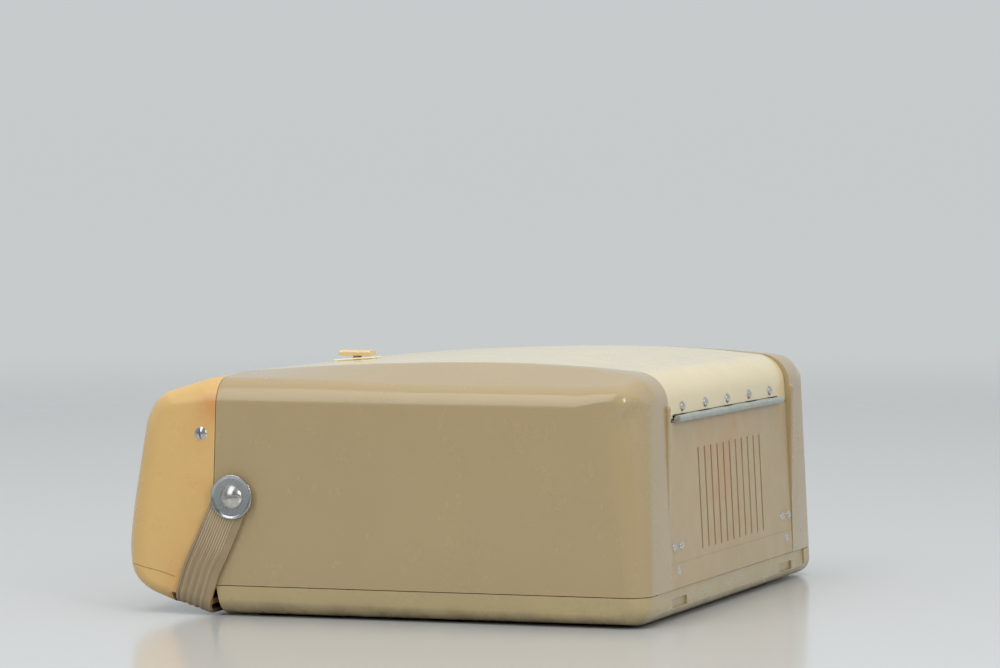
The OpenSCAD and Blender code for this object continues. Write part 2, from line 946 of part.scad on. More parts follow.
module platter_mat() {
    color([0.24, 0.20, 0.17])
    translate([0, platter_y, platter_top + 0.02])
        difference() {
            ring(platter_r - 3, spindle_r + 0.4, mat_top - platter_top - 0.02);
            for (r = [16:8:72])
                translate([0, 0, 0.9]) ring(r + 1.2, r, 1);
        }
}

spindle_top = 126;
shaft_foot = 88;

// The spindle turns with the platter, and its slimmer shaft runs in the bearing under the deck
module spindle() {
    color([0.80, 0.80, 0.80])
    translate([0, platter_y, 0]) {
        translate([0, 0, shaft_foot]) cylinder(r = shaft_in_hub_r, h = mat_top - shaft_foot + 0.1);
        translate([0, 0, mat_top]) cylinder(r = spindle_r, h = spindle_top - mat_top - 2);
        translate([0, 0, spindle_top - 2]) cylinder(r1 = spindle_r, r2 = 1.8, h = 2);
    }
}

module spindle_bearing() {
    color([0.62, 0.56, 0.34])
    translate([0, platter_y, 0])
        difference() {
            union() {
                translate([0, 0, 84]) cylinder(r = 8, h = deck_h - 2.1 - 84);
                translate([0, 0, deck_h - 6]) cylinder(r = 16, h = 3.9);
                translate([0, 0, 86]) cylinder(r = 8, h = deck_h + 1.5 - 86);
            }
            translate([0, 0, shaft_foot - 0.5]) cylinder(r = shaft_in_hub_r + running, h = 40);
        }
}

module idler_wheel() {
    color([0.22, 0.21, 0.20])
    translate([idler_pos[0], idler_pos[1], deck_h + 3]) {
        cylinder(r = idler_r, h = 3.4);
        translate([0, 0, -6]) cylinder(r = 2, h = 6.5);
        translate([0, 0, -6.5]) cylinder(r = 3.2, h = 1.2);
    }
}

module motor() {
    color([0.46, 0.47, 0.46])
    translate([pulley_pos[0], pulley_pos[1], 0])
        difference() {
            union() {
                translate([0, 0, 64]) cylinder(r = motor_r, h = 34);
                translate([-motor_r - 6, -6, 97]) cube([2 * motor_r + 12, 12, 1.5]);
                for (s = [-1, 1])
                    translate([s * (motor_r + 3), 0, 98]) cylinder(r = 2.5, h = deck_h - 2 - 98 - 0.05);
            }
            translate([0, 0, 70]) cylinder(r = 1.5 + running, h = 60);
        }
}

module motor_pulley() {
    color([0.76, 0.62, 0.34])
    translate([pulley_pos[0], pulley_pos[1], 0]) {
        translate([0, 0, 72]) cylinder(r = 1.5, h = deck_h - 72 + 1);
        translate([0, 0, deck_h + 0.5]) cylinder(r = 3, h = 6.5);
    }
}

arm_side = 9;

// The swivel post, with the fork that carries the tonearm
module arm_swivel() {
    color([0.72, 0.70, 0.64])
    translate([arm_pivot[0], arm_pivot[1], 0])
        difference() {
            union() {
                translate([0, 0, deck_h - 12]) cylinder(r = 5, h = 12.4);
                translate([0, 0, deck_h + 0.4]) cylinder(r = 11, h = 8);
                for (s = [-1, 1])
                    translate([s * (arm_side - 1.25) - 1.25, -5, deck_h + 8]) cube([2.5, 10, 13]);
            }
            translate([-20, 0, arm_z - 6])
                rotate([0, 90, 0]) cylinder(r = 1.6 + running, h = 40);
        }
}

arm_axle_z = arm_z - 6;

// The arm, with its cross axle and its counterweight
module tonearm() {
    color([0.86, 0.82, 0.70])
    translate([arm_pivot[0], arm_pivot[1], 0]) {
        translate([-arm_side - 0.4, 0, arm_axle_z])
            rotate([0, 90, 0]) cylinder(r = 1.6, h = 2 * arm_side + 0.8);
        translate([-5.5, -6, arm_axle_z - 2.5]) cube([11, 12, 8.5]);
        translate([0, 14, arm_z - 2]) rotate([90, 0, 0]) cylinder(r = 2.6, h = 140);
        translate([0, 27, arm_z - 2]) rotate([90, 0, 0]) cylinder(r = 7.5, h = 13.5);
        translate([-5, -arm_reach - 6, arm_z - 4.5]) cube([10, 22, 5]);
    }
}

module cartridge() {
    color([0.25, 0.22, 0.20])
    translate([arm_pivot[0], arm_pivot[1] - arm_reach, 0]) {
        translate([-4, -4, arm_z - 4.6 - 1.6]) cube([8, 14, 1.55]);
        translate([0, 0, arm_z - 6.7]) cylinder(r1 = 0.3, r2 = 1.4, h = 0.55);
    }
}

rest_pos = [100, 4];

module arm_rest() {
    color([0.30, 0.27, 0.22])
    translate([rest_pos[0], rest_pos[1], deck_h + 0.02]) {
        cylinder(r = 6, h = 2);
        cylinder(r = 3, h = arm_z - 2 - 2.6 - 0.5 - deck_h);
    }
}

module speed_lever() {
    color([0.90, 0.87, 0.76])
    translate([lever_pos[0], lever_pos[1], 0]) {
        translate([0, 0, deck_h - 6]) cylinder(r = 3, h = 8);
        translate([0, 0, deck_h + 0.5]) cylinder(r = 7, h = 2.5);
        translate([-2.5, 0, deck_h + 1]) cube([5, 20, 2]);
        translate([0, 17, deck_h + 1]) cylinder(r = 3.4, h = 6);
    }
}

// ---- inside ----

chassis_z = 14;
chassis_bolts = [[-20, -60], [118, -60], [-20, 130], [118, 130]];

module chassis_plate() {
    color([0.66, 0.67, 0.66])
    difference() {
        union() {
            block([-35, -75, chassis_z], [163, 138, chassis_z + 1.5]);
            for (p = chassis_bolts)
                translate([p[0], p[1], case_bottom + wall + 0.05])
                    cylinder(r = 4, h = chassis_z - case_bottom - wall);
        }
        for (p = chassis_bolts)
            translate([p[0], p[1], -2]) cylinder(r = 1.6, h = 30);
    }
}

valve_places = [[70, 60], [105, 60], [140, 60], [70, 100], [105, 100]];
can_places = [[140, 20], [140, -12], [105, 20]];

// Valves in their sockets, tuned-circuit cans, the output transformer and the rod aerial
module chassis_parts() {
    top = chassis_z + 1.55;
    color([0.80, 0.80, 0.76]) {
        for (p = valve_places)
            translate([p[0], p[1], top]) {
                cylinder(r = 11, h = 7);
                translate([0, 0, 7]) cylinder(r = 9, h = 38);
                translate([0, 0, 45]) dome(9, 5);
            }
        for (p = can_places)
            translate([p[0] - 10, p[1] - 10, top]) cube([20, 20, 52]);
        translate([30, -40, top]) cube([44, 36, 38]);
        translate([22, -36, top + 6]) cube([60, 28, 26]);
        for (x = [-20, 90])
            translate([x, 118, top]) cube([6, 10, 60]);
        translate([-30, 123, top + 54]) rotate([0, 90, 0]) cylinder(r = 5, h = 150);
    }
}

// A block high-tension battery and four round cells
module batteries() {
    color([0.55, 0.20, 0.16]) {
        block([-160, -60, case_bottom + wall + 0.05], [-100, 40, 80]);
        for (i = [0:3])
            translate([-153 + i * 33.6, 62, case_bottom + wall + 17.1])
                rotate([-90, 0, 0]) cylinder(r = 16.4, h = 60);
    }
}

front_bezel();
side_shell_left();
side_shell_right();
bottom_tray();
back_panel();
back_rivets();
rubber_feet();
bezel_screws();
lid();
lid_rivets();
lid_buffers();
hinge_leaf_fixed();
hinge_leaf_moving();
hinge_pin();
latch_base();
latch_slider();
pivot_studs();
pivot_washers();
pivot_screws();
handle_arm_left();
handle_arm_right();
handle_grip();
speaker_baffle();
speaker_basket();
speaker_cone();
speaker_magnet();
grille_cloth();
dial_window();
dial_plate();
dial_rail();
dial_pointer();
tuning_knob();
tuning_shaft();
capacitor_frame();
capacitor_rotor();
volume_knob();
volume_shaft();
volume_control();
band_key_1();
band_key_2();
band_key_3();
band_key_4();
key_bank();
deck_plate();
deck_screws();
platter();
platter_mat();
spindle();
spindle_bearing();
idler_wheel();
motor();
motor_pulley();
arm_swivel();
tonearm();
cartridge();
arm_rest();
speed_lever();
chassis_plate();
chassis_parts();
batteries();
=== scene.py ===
import json
import math

import bmesh
import bpy
from mathutils import Euler, Matrix, Vector


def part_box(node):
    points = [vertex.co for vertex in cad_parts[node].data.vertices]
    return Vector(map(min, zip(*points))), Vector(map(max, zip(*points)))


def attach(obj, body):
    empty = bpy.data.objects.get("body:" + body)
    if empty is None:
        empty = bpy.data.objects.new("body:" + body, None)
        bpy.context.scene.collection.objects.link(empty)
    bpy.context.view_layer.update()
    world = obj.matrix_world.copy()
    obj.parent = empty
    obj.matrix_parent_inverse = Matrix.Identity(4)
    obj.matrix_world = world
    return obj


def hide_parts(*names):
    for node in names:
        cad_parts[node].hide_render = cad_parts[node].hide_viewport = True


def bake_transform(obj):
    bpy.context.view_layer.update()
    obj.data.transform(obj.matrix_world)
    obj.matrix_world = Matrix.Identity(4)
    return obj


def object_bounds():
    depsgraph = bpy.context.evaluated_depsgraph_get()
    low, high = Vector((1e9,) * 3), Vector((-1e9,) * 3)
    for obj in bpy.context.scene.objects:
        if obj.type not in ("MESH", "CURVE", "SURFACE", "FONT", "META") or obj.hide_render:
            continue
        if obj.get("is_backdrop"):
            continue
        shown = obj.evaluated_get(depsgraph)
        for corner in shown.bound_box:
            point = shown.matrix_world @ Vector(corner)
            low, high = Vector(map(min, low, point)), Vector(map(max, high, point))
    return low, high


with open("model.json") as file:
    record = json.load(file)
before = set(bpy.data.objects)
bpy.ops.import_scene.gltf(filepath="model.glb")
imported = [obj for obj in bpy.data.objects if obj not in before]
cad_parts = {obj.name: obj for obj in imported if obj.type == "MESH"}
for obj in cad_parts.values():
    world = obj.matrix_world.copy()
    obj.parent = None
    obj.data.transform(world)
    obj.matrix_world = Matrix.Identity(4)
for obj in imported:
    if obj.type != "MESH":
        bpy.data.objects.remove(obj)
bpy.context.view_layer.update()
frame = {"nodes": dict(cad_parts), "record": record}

# Shapes are worked out in millimetres, as in the CAD source, and made in metres.
MM = 0.001

# ======== driving dimensions

HALF_W = 174.5
LID_HALF = 125.0
WALL = 3.0
FOOT_H = 1.2
SPLIT = 16.9
GAP = 0.2
CREST_Y, CREST_Z = 51.0, 140.1
TOP_EDGE_Z, TOP_EDGE_X, TOP_SLOPE = 140.7, 126.0, 0.2858
REAR_FOOT_Y, REAR_SLOPE = 153.65, 0.052
FACE_Y, FACE_Z, FACE_SLOPE = -149.75, 64.8, 0.17
SEAM_FOOT_Y, SEAM_SLOPE = -99.35, 0.0319
SIDE_TOP_Z = 108.74
EDGE_FRONT, EDGE_REAR, EDGE_BOTTOM = 16.0, 28.0, 14.0
FRONT_FOOT_R = 9.0
PANEL_TOP, LID_FOOT = 107.4, 109.4

REAR_LEAN = math.atan(REAR_SLOPE)
FACE_LEAN = math.atan(FACE_SLOPE)


def crown(y):
    r = 1670 if y < CREST_Y else 800
    return CREST_Z - (y - CREST_Y) ** 2 / (2 * r)


def rear_y(z):
    return REAR_FOOT_Y - REAR_SLOPE * z


def seam_y(z):
    return SEAM_FOOT_Y + SEAM_SLOPE * z


def smooth(t):
    t = max(0.0, min(1.0, t))
    return t * t * (3 - 2 * t)


def moved(x, y, z):
    """A shift by x, y and z."""
    return Matrix.Translation((x, y, z))


# Frames on the tilted faces: the face's x runs across, y up it and z out of it
ON_FACE = moved(0, FACE_Y, FACE_Z) @ Matrix.Rotation(math.pi / 2 - FACE_LEAN, 4, "X")


def on_rear(z):
    """Frame on the back at height z, with its z pointing out of the back and its y up it."""
    return (moved(0, rear_y(z), z) @ Matrix.Rotation(REAR_LEAN, 4, "X")
            @ Matrix.Rotation(-math.pi / 2, 4, "X") @ Matrix.Rotation(math.pi, 4, "Z"))


def on_side(x, y, z):
    """Frame at a point of a side, with its z pointing out of that side."""
    return moved(x, y, z) @ Matrix.Rotation(math.copysign(math.pi / 2, x), 4, "Y")


# ======== mesh helpers


def corner(a, b, c, r, n):
    """Points that round the corner b of the path a, b, c with radius r."""
    a, b, c = Vector(a), Vector(b), Vector(c)
    if r <= 0:
        return [b]
    u, w = (a - b).normalized(), (c - b).normalized()
    half = u.angle(w) / 2
    centre = b + (u + w).normalized() * r / math.sin(half)
    first, last = b + u * r / math.tan(half) - centre, b + w * r / math.tan(half) - centre
    start = math.atan2(first.y, first.x)
    turn = (math.atan2(last.y, last.x) - start + math.pi) % (2 * math.pi) - math.pi
    return [centre + Vector((math.cos(start + turn * i / n), math.sin(start + turn * i / n))) * r
            for i in range(n + 1)]


def rounded(corners, n=8):
    m = len(corners)
    return [p for i in range(m)
            for p in corner(corners[i - 1][:2], corners[i][:2], corners[(i + 1) % m][:2], corners[i][2], n)]


def oblong(x0, y0, x1, y1, r, n):
    """A rectangle with rounded corners."""
    return rounded([(x0, y0, r), (x1, y0, r), (x1, y1, r), (x0, y1, r)], n)


def plug(r, low, high):
    """The profile of a plain cylinder, for add_lathe."""
    return [(0, low), (r, low), (r, high), (0, high)]


def add_prism(bm, outline, low, high, axis="x", matrix=None):
    """Adds an outline extruded along an axis: x takes [y, z] points, and z takes [x, y] points."""
    rings = []
    for d in (low, high):
        ring = [Vector((d, p[0], p[1])) if axis == "x" else Vector((p[0], p[1], d)) for p in outline]
        rings.append([bm.verts.new(matrix @ p if matrix else p) for p in ring])
    n = len(outline)
    faces = [bm.faces.new((rings[0][i], rings[0][(i + 1) % n], rings[1][(i + 1) % n], rings[1][i]))
             for i in range(n)]
    faces += [bm.faces.new(rings[0][::-1]), bm.faces.new(rings[1])]
    return faces


def add_box(bm, low, high, matrix=None):
    return add_prism(bm, [(low[0], low[1]), (high[0], low[1]), (high[0], high[1]), (low[0], high[1])],
                     low[2], high[2], "z", matrix)


def add_lathe(bm, profile, matrix, steps=40, radius=None):
    """Turns a closed or axis-to-axis [r, h] profile about the local z. radius(r, h, angle) may flute it."""
    rings = []
    for r, h in profile:
        if r < 1e-6:
            rings.append([bm.verts.new(matrix @ Vector((0, 0, h)))])
            continue
        ring = []
        for k in range(steps):
            a = 2 * math.pi * k / steps
            q = radius(r, h, a) if radius else r
            ring.append(bm.verts.new(matrix @ Vector((q * math.cos(a), q * math.sin(a), h))))
        rings.append(ring)
    for a, b in zip(rings, rings[1:] + ([] if profile[0][0] < 1e-6 else [rings[0]])):
        for k in range(steps):
            j = (k + 1) % steps
            quad = [a[k % len(a)], a[j % len(a)], b[j % len(b)], b[k % len(b)]]
            quad = list(dict.fromkeys(quad))
            if len(quad) > 2:
                bm.faces.new(quad)


def dome_profile(r, h, rim=0.25, depth=0.0, n=8):
    """From the middle of a domed head out to its rim and down to its seat."""
    ball = (r * r + h * h) / (2 * h)
    top = [(ball * math.sin(a), h - ball + ball * math.cos(a))
           for a in (math.asin((r - rim) / ball) * i / n for i in range(n + 1))]
    return top + [(r, max(0.0, top[-1][1] - rim)), (r, -depth)]


def new_object(name, bm):
    bmesh.ops.recalc_face_normals(bm, faces=bm.faces)
    if bm.calc_volume(signed=True) < 0:
        bmesh.ops.reverse_faces(bm, faces=bm.faces)
    for v in bm.verts:
        v.co *= MM
    mesh = bpy.data.meshes.new(name)
    bm.to_mesh(mesh)
    bm.free()
    obj = bpy.data.objects.new(name, mesh)
    bpy.context.scene.collection.objects.link(obj)
    return obj


def bake(obj):
    """Applies the object's modifiers."""
    graph = bpy.context.evaluated_depsgraph_get()
    mesh = bpy.data.meshes.new_from_object(obj.evaluated_get(graph))
    obj.modifiers.clear()
    old, obj.data = obj.data, mesh
    bpy.data.meshes.remove(old)


def combine(obj, bm, operation="DIFFERENCE"):
    """Cuts obj by what bm holds, or keeps only what is inside it."""
    tool = new_object("tool", bm)
    mod = obj.modifiers.new("cut", "BOOLEAN")
    mod.object, mod.operation, mod.solver = tool, operation, "EXACT"
    bake(obj)
    bpy.data.objects.remove(tool)


def soften(obj, width, angle=40, segments=2):
    """Rounds the sharp edges a little."""
    mod = obj.modifiers.new("edge", "BEVEL")
    mod.width, mod.segments, mod.limit_method = width * MM, segments, "ANGLE"
    mod.angle_limit, mod.use_clamp_overlap, mod.miter_outer = math.radians(angle), True, "MITER_ARC"
    bake(obj)


def mark_sharp(bm, angle):
    for e in bm.edges:
        e.smooth = len(e.link_faces) == 2 and e.calc_face_angle(0) < math.radians(angle)


def finish_mesh(obj, angle=32):
    """Tidies the mesh, and shades it smooth except over sharp edges."""
    bm = bmesh.new()
    bm.from_mesh(obj.data)
    bmesh.ops.remove_doubles(bm, verts=bm.verts, dist=1e-6)
    bmesh.ops.dissolve_degenerate(bm, edges=bm.edges, dist=1e-7)
    loose = [v for v in bm.verts if not v.link_faces]
    bmesh.ops.delete(bm, geom=loose, context="VERTS")
    for f in bm.faces:
        f.smooth = True
    mark_sharp(bm, angle)
    bm.to_mesh(obj.data)
    bm.free()
    mod = obj.modifiers.new("normals", "WEIGHTED_NORMAL")
    mod.keep_sharp, mod.weight = True, 60
    bake(obj)


def place(obj, body, mat, slot, *nodes, angle=32):
    """Finishes a piece: material, body and the CAD nodes that it stands for. The slot argument is not used.
    """
    finish_mesh(obj, angle)
    obj.data.materials.clear()
    obj.data.materials.append(mat)
    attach(obj, body)
    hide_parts(*nodes)
    return obj


# ======== material helpers


class Shader:
    """A Principled material, with short calls for the nodes that feed it."""

    def __init__(self, name, **sockets):
        self.mat = bpy.data.materials.new(name)
        self.mat.use_nodes = True
        self.tree = self.mat.node_tree
        self.out = self.tree.nodes["Principled BSDF"]
        self.place = self.node("TexCoord").outputs["Object"]
        for key, value in sockets.items():
            self.out.inputs[key.replace("_", " ")].default_value = value

    def node(self, kind, ins=(), **props):
        made = self.tree.nodes.new("ShaderNode" + kind)
        for key, value in props.items():
            setattr(made, key, value)
        for key, value in dict(ins).items():
            if isinstance(value, bpy.types.NodeSocket):
                self.tree.links.new(value, made.inputs[key])
            else:
                made.inputs[key].default_value = value
        return made

    def link(self, socket, key):
        self.tree.links.new(socket, self.out.inputs[key])

    def stretched(self, x, y, z, turn=(0, 0, 0)):
        return self.node("Mapping", {"Vector": self.place, "Scale": (x, y, z), "Rotation": turn}).outputs[0]

    def noise(self, scale, detail=2.0, rough=0.5, at=None, distortion=0.0):
        return self.node("TexNoise", {"Vector": at or self.place, "Scale": scale, "Detail": detail,
                                      "Roughness": rough, "Distortion": distortion}).outputs["Fac"]

    def spots(self, scale, at=None):
        """Distance to the nearest of scattered points."""
        made = self.node("TexVoronoi", {"Vector": at or self.place, "Scale": scale}, feature="F1")
        return made.outputs["Distance"]

    def span(self, value, low, high, to_low=0.0, to_high=1.0, kind="SMOOTHSTEP"):
        return self.node("MapRange", {"Value": value, "From Min": low, "From Max": high, "To Min": to_low,
                                      "To Max": to_high}, interpolation_type=kind).outputs["Result"]

    def math(self, kind, a, b):
        return self.node("Math", {0: a, 1: b}, operation=kind).outputs[0]

    def axes(self):
        return self.node("SeparateXYZ", {"Vector": self.place}).outputs

    def mix(self, a, b, factor, blend="MIX"):
        made = self.node("Mix", data_type="RGBA", blend_type=blend)
        for index, value in ((0, factor), (6, a), (7, b)):
            if isinstance(value, bpy.types.NodeSocket):
                self.tree.links.new(value, made.inputs[index])
            else:
                made.inputs[index].default_value = value
        return made.outputs[2]

    def bump(self, height, strength, distance, under=None):
        made = self.node("Bump", {"Height": height, "Strength": strength, "Distance": distance})
        if under is not None:
            self.tree.links.new(under, made.inputs["Normal"])
        return made.outputs["Normal"]


def srgb(r, g, b):
    """A colour given as 0 to 255 display values, as the linear values that a shader takes."""
    return tuple(((c / 255 + 0.055) / 1.055) ** 2.4 if c > 10 else c / 3295 for c in (r, g, b)) + (1.0,)


def scaled(colour, k):
    return tuple(min(1.0, c * k) for c in colour[:3]) + (1.0,)


def plastic(name, colour, rough=0.28, mottle=0.06, coat=0.15, grain=0.03, scuffs=0.5, sink=0.16, extra=None):
    """Old moulded plastic: clouded colour, specks, rubbed patches, faint scratches and sink marks."""
    s = Shader(name, IOR=1.5, Coat_Weight=coat, Coat_Roughness=0.12)
    cloud = s.noise(14, 4, 0.6)
    blotch = s.noise(60, 5, 0.65)
    tint = s.mix(scaled(colour, 1 - mottle), scaled(colour, 1 + mottle), s.span(cloud, 0.35, 0.65))
    warm = (min(1, colour[0] * 1.05), colour[1] * 0.98, colour[2] * 0.86, 1)
    tint = s.mix(tint, warm, s.span(blotch, 0.45, 0.75, 0, min(0.45, 5 * mottle)))
    specks = s.spots(95.0)
    tint = s.mix(tint, scaled(colour, 0.35), s.span(specks, 0.02, 0.045, 0.5 * scuffs, 0))
    lint = s.spots(150.0, s.stretched(1, 1.2, 1))
    tint = s.mix(tint, scaled(colour, 1.35), s.span(lint, 0.02, 0.05, 0.35 * scuffs, 0))
    height = None
    for turn, scale in (((0.5, 0.3, 0.2), 22), ((-0.6, 0.1, 0.9), 31)):
        line = s.noise(scale, 2, 0.4, at=s.stretched(1, 1.0, 26, turn))
        scratch = s.span(line, 0.74, 0.77)
        rare = s.span(s.noise(9, 1, 0.5, at=s.stretched(1, 1, 1, turn)), 0.52, 0.62)
        height = s.math("MULTIPLY", scratch, rare)
        tint = s.mix(tint, scaled(colour, 1.18), s.math("MULTIPLY", height, 0.25 * scuffs))
    if extra:
        tint = extra(s, tint)
    s.link(tint, "Base Color")
    worn = s.span(blotch, 0.3, 0.7, rough - 0.05, rough + 0.07)
    s.link(s.math("ADD", worn, s.math("MULTIPLY", height, 0.05)), "Roughness")
    fine = s.bump(s.noise(1400, 2, 0.5), grain, 0.0002)
    s.link(s.bump(s.noise(26, 1, 0.4), sink, 0.0012, fine), "Normal")
    return s.mat


def metal(name, colour, rough=0.3, turned=False, tarnish=0.3, brushed=(1, 1, 1), metallic=1.0):
    """Plated or bare metal: fine brushing, tarnish in patches and tiny pits."""
    s = Shader(name, Metallic=metallic)
    cloud = s.noise(180, 5, 0.65)
    dull = scaled(colour, 0.45)
    tint = s.mix(colour, dull, s.span(cloud, 0.45, 0.8, 0, tarnish))
    pits = s.spots(900.0)
    tint = s.mix(tint, scaled(dull, 0.5), s.span(pits, 0.05, 0.12, 0.5 * tarnish, 0))
    s.link(tint, "Base Color")
    s.link(s.span(cloud, 0.3, 0.7, rough - 0.06, rough + 0.12), "Roughness")
    lines = s.noise(900, 3, 0.6, at=s.stretched(*brushed))
    if turned:
        lines = s.node("TexWave", {"Vector": s.place, "Scale": 1400.0, "Distortion": 0.6},
                       wave_type="RINGS", rings_direction="SPHERICAL").outputs["Fac"]
    s.link(s.bump(lines, 0.06, 0.0001), "Normal")
    return s.mat


def painted(name, colour, rough=0.5, grain=700, depth=0.12, chips=0.5):
    """Painted or enamelled sheet: hammered or orange-peel surface, with chips."""
    s = Shader(name, IOR=1.48, Coat_Weight=0.1, Coat_Roughness=0.3)
    cloud = s.noise(30, 4, 0.6)
    tint = s.mix(scaled(colour, 0.9), scaled(colour, 1.06), s.span(cloud, 0.35, 0.65))
    chip = s.noise(240, 6, 0.75)
    tint = s.mix(tint, scaled(colour, 0.4), s.span(chip, 0.70, 0.74, 0, chips))
    s.link(tint, "Base Color")
    s.link(s.span(cloud, 0.3, 0.7, rough - 0.06, rough + 0.08), "Roughness")
    s.link(s.bump(s.noise(grain, 2, 0.5), depth, 0.0003), "Normal")
    return s.mat


def rubber(name, colour, rough=0.75):
    """Dull black rubber with dust on it."""
    s = Shader(name, IOR=1.5, Sheen_Weight=0.15, Sheen_Roughness=0.6)
    dust = s.noise(160, 5, 0.7)
    tint = s.mix(colour, scaled(colour, 2.2), s.span(dust, 0.5, 0.8, 0, 0.6))
    s.link(tint, "Base Color")
    s.link(s.span(dust, 0.3, 0.7, rough - 0.08, rough + 0.1), "Roughness")
    s.link(s.bump(s.noise(2500, 2, 0.5), 0.12, 0.0002), "Normal")
    return s.mat


# ======== materials

SHELL = srgb(166, 146, 109)
CREAM = srgb(220, 203, 159)
OCHRE = srgb(208, 172, 110)


def bezel_stains(s, tint):
    """Warmer along the joint and low down, an orange stain near the joint's top, and one fine crack."""
    x, y, z = s.axes()
    near_seam = s.span(y, -0.128, -0.100)
    patch = s.noise(36, 4, 0.6)
    clouded = s.span(patch, 0.4, 0.62, 0.05, 0.22)
    tint = s.mix(tint, srgb(200, 142, 78), s.math("MULTIPLY", near_seam, clouded))
    high = s.math("MULTIPLY", s.span(z, 0.100, 0.116), s.span(z, 0.127, 0.118))
    stain = s.math("MULTIPLY", high, s.span(y, -0.112, -0.100))
    tint = s.mix(tint, srgb(196, 110, 52), s.math("MULTIPLY", stain, s.span(patch, 0.35, 0.6, 0.1, 0.42)))
    low = s.math("MULTIPLY", s.span(z, 0.05, 0.012), s.span(y, -0.135, -0.115))
    tint = s.mix(tint, srgb(190, 128, 66), s.math("MULTIPLY", low, 0.35))
    crack = s.math("ADD", s.span(y, -0.1445, -0.1296, 0.0270, 0.0238, "LINEAR"),
                   s.span(y, -0.1296, -0.1205, 0, -0.0028, "LINEAR"))
    off = s.math("ABSOLUTE", s.math("SUBTRACT", z, crack), 0)
    on = s.math("MULTIPLY", s.span(off, 0.0004, 0.0001), s.math("LESS_THAN", y, -0.1205))
    return s.mix(tint, srgb(120, 84, 42), s.math("MULTIPLY", on, s.span(x, 0.120, 0.150, 0, 0.75)))


def panel_tint(s, tint):
    """A pinkish cast among the vents, and a faint line of painted shade under them."""
    x, y, z = s.axes()
    middle = s.math("MULTIPLY", s.span(s.math("ABSOLUTE", x, 0), 0.08, 0.03), s.span(z, 0.03, 0.045))
    patch = s.noise(30, 3, 0.6)
    tint = s.mix(tint, srgb(184, 138, 100), s.math("MULTIPLY", middle, s.span(patch, 0.42, 0.7, 0, 0.45)))
    # Painted shade: a darker line standing in for the shaded lower edge of a shallow recess, which is not
    # modelled
    line = s.math("MULTIPLY", s.span(z, 0.0300, 0.0304), s.span(z, 0.0312, 0.0308))
    return s.mix(tint, scaled(SHELL, 0.8), s.math("MULTIPLY", line, 0.5))


def underside_painted_shade(s, tint):
    """Painted shade towards the underside, broken up into noisy patches."""
    x, y, z = s.axes()
    # Painted shade: darker towards the floor, mixed in by a noise
    low_painted_shade = s.math("MULTIPLY", s.span(z, 0.012, 0.001), s.span(s.noise(70, 5, 0.7), 0.35, 0.65, 0.1, 0.6))
    return s.mix(tint, srgb(104, 88, 62), low_painted_shade)


M = {
    "bezel": plastic("bezel_plastic", OCHRE, 0.3, 0.02, grain=0.015, scuffs=0.25, extra=bezel_stains),
    "shell": plastic("shell_plastic", SHELL, 0.22, 0.015, coat=0.35, grain=0.006, scuffs=0.1, sink=0.06),
    "tray": plastic("tray_plastic", srgb(169, 152, 112), 0.3, 0.03, grain=0.015, extra=underside_painted_shade),
    "panel": plastic("panel_plastic", srgb(176, 155, 120), 0.4, 0.02, coat=0.05, extra=panel_tint),
    "lid": plastic("lid_plastic", CREAM, 0.2, 0.015, coat=0.5, grain=0.004, scuffs=0.15, sink=0.04),
    "lid_trim": plastic("trim_plastic", srgb(236, 226, 190), 0.3, 0.03, scuffs=0.4),
    "latch": plastic("latch_plastic", srgb(218, 192, 142), 0.25, 0.06),
    "knob": plastic("knob_plastic", srgb(222, 206, 164), 0.25, 0.04, scuffs=0.8),
    "key": plastic("key_plastic", srgb(232, 224, 196), 0.25, 0.03),
    "pointer": plastic("pointer_plastic", srgb(184, 42, 26), 0.3, 0.05),
    "dial": plastic("dial_card", srgb(228, 218, 188), 0.6, 0.03, coat=0.0, grain=0.06),
    "cone": plastic("cone_paper", srgb(52, 46, 41), 0.85, 0.2, coat=0.0, grain=0.3),
    "battery": plastic("battery_wrap", srgb(140, 51, 41), 0.5, 0.1, coat=0.0),
    "rivets": metal("rivet_nickel", srgb(206, 206, 202), 0.24, tarnish=0.45),
    "screws": metal("screw_nickel", srgb(200, 199, 195), 0.26, tarnish=0.4),
    "washers": metal("washer_nickel", srgb(186, 189, 190), 0.2, tarnish=0.35),
    "hinge": metal("hinge_plate", srgb(168, 173, 166), 0.42, tarnish=0.25, brushed=(0.1, 1, 1),
                   metallic=0.35),
    "bare_metal": metal("bare_aluminium", srgb(190, 190, 186), 0.35, tarnish=0.35, brushed=(0.15, 1, 1)),
    "brass": metal("turned_brass", srgb(190, 158, 92), 0.3, turned=True, tarnish=0.5),
    "dark_steel": painted("dull_steel", srgb(96, 98, 98), 0.5, chips=0.3),
    "deck": painted("deck_enamel", srgb(198, 184, 148), 0.42, 420, 0.3, chips=0.15),
    "platter": painted("platter_enamel", srgb(178, 172, 158), 0.38, 900, 0.1, chips=0.1),
    "feet": rubber("foot_rubber", srgb(40, 38, 36)),
    "mat": rubber("mat_rubber", srgb(58, 50, 45), 0.8),
}


def board_material():
    """Fibre board with a streaky grain."""
    s = Shader("fibre_board", IOR=1.45)
    grain = s.noise(260, 6, 0.7, at=s.stretched(1, 1, 3))
    s.link(s.mix(srgb(112, 82, 54), srgb(158, 124, 86), s.span(grain, 0.35, 0.7)), "Base Color")
    s.link(s.span(grain, 0.3, 0.7, 0.7, 0.9), "Roughness")
    s.link(s.bump(grain, 0.3, 0.0004), "Normal")
    return s.mat


def window_material():
    """Clear dial window, a little hazed."""
    s = Shader("clear_window", IOR=1.49, Transmission_Weight=1.0, Specular_IOR_Level=0.5)
    haze = s.noise(45, 4, 0.6)
    s.link(s.mix(srgb(240, 244, 240), srgb(226, 226, 208), s.span(haze, 0.4, 0.7)), "Base Color")
    s.link(s.span(haze, 0.4, 0.75, 0.02, 0.12), "Roughness")
    return s.mat


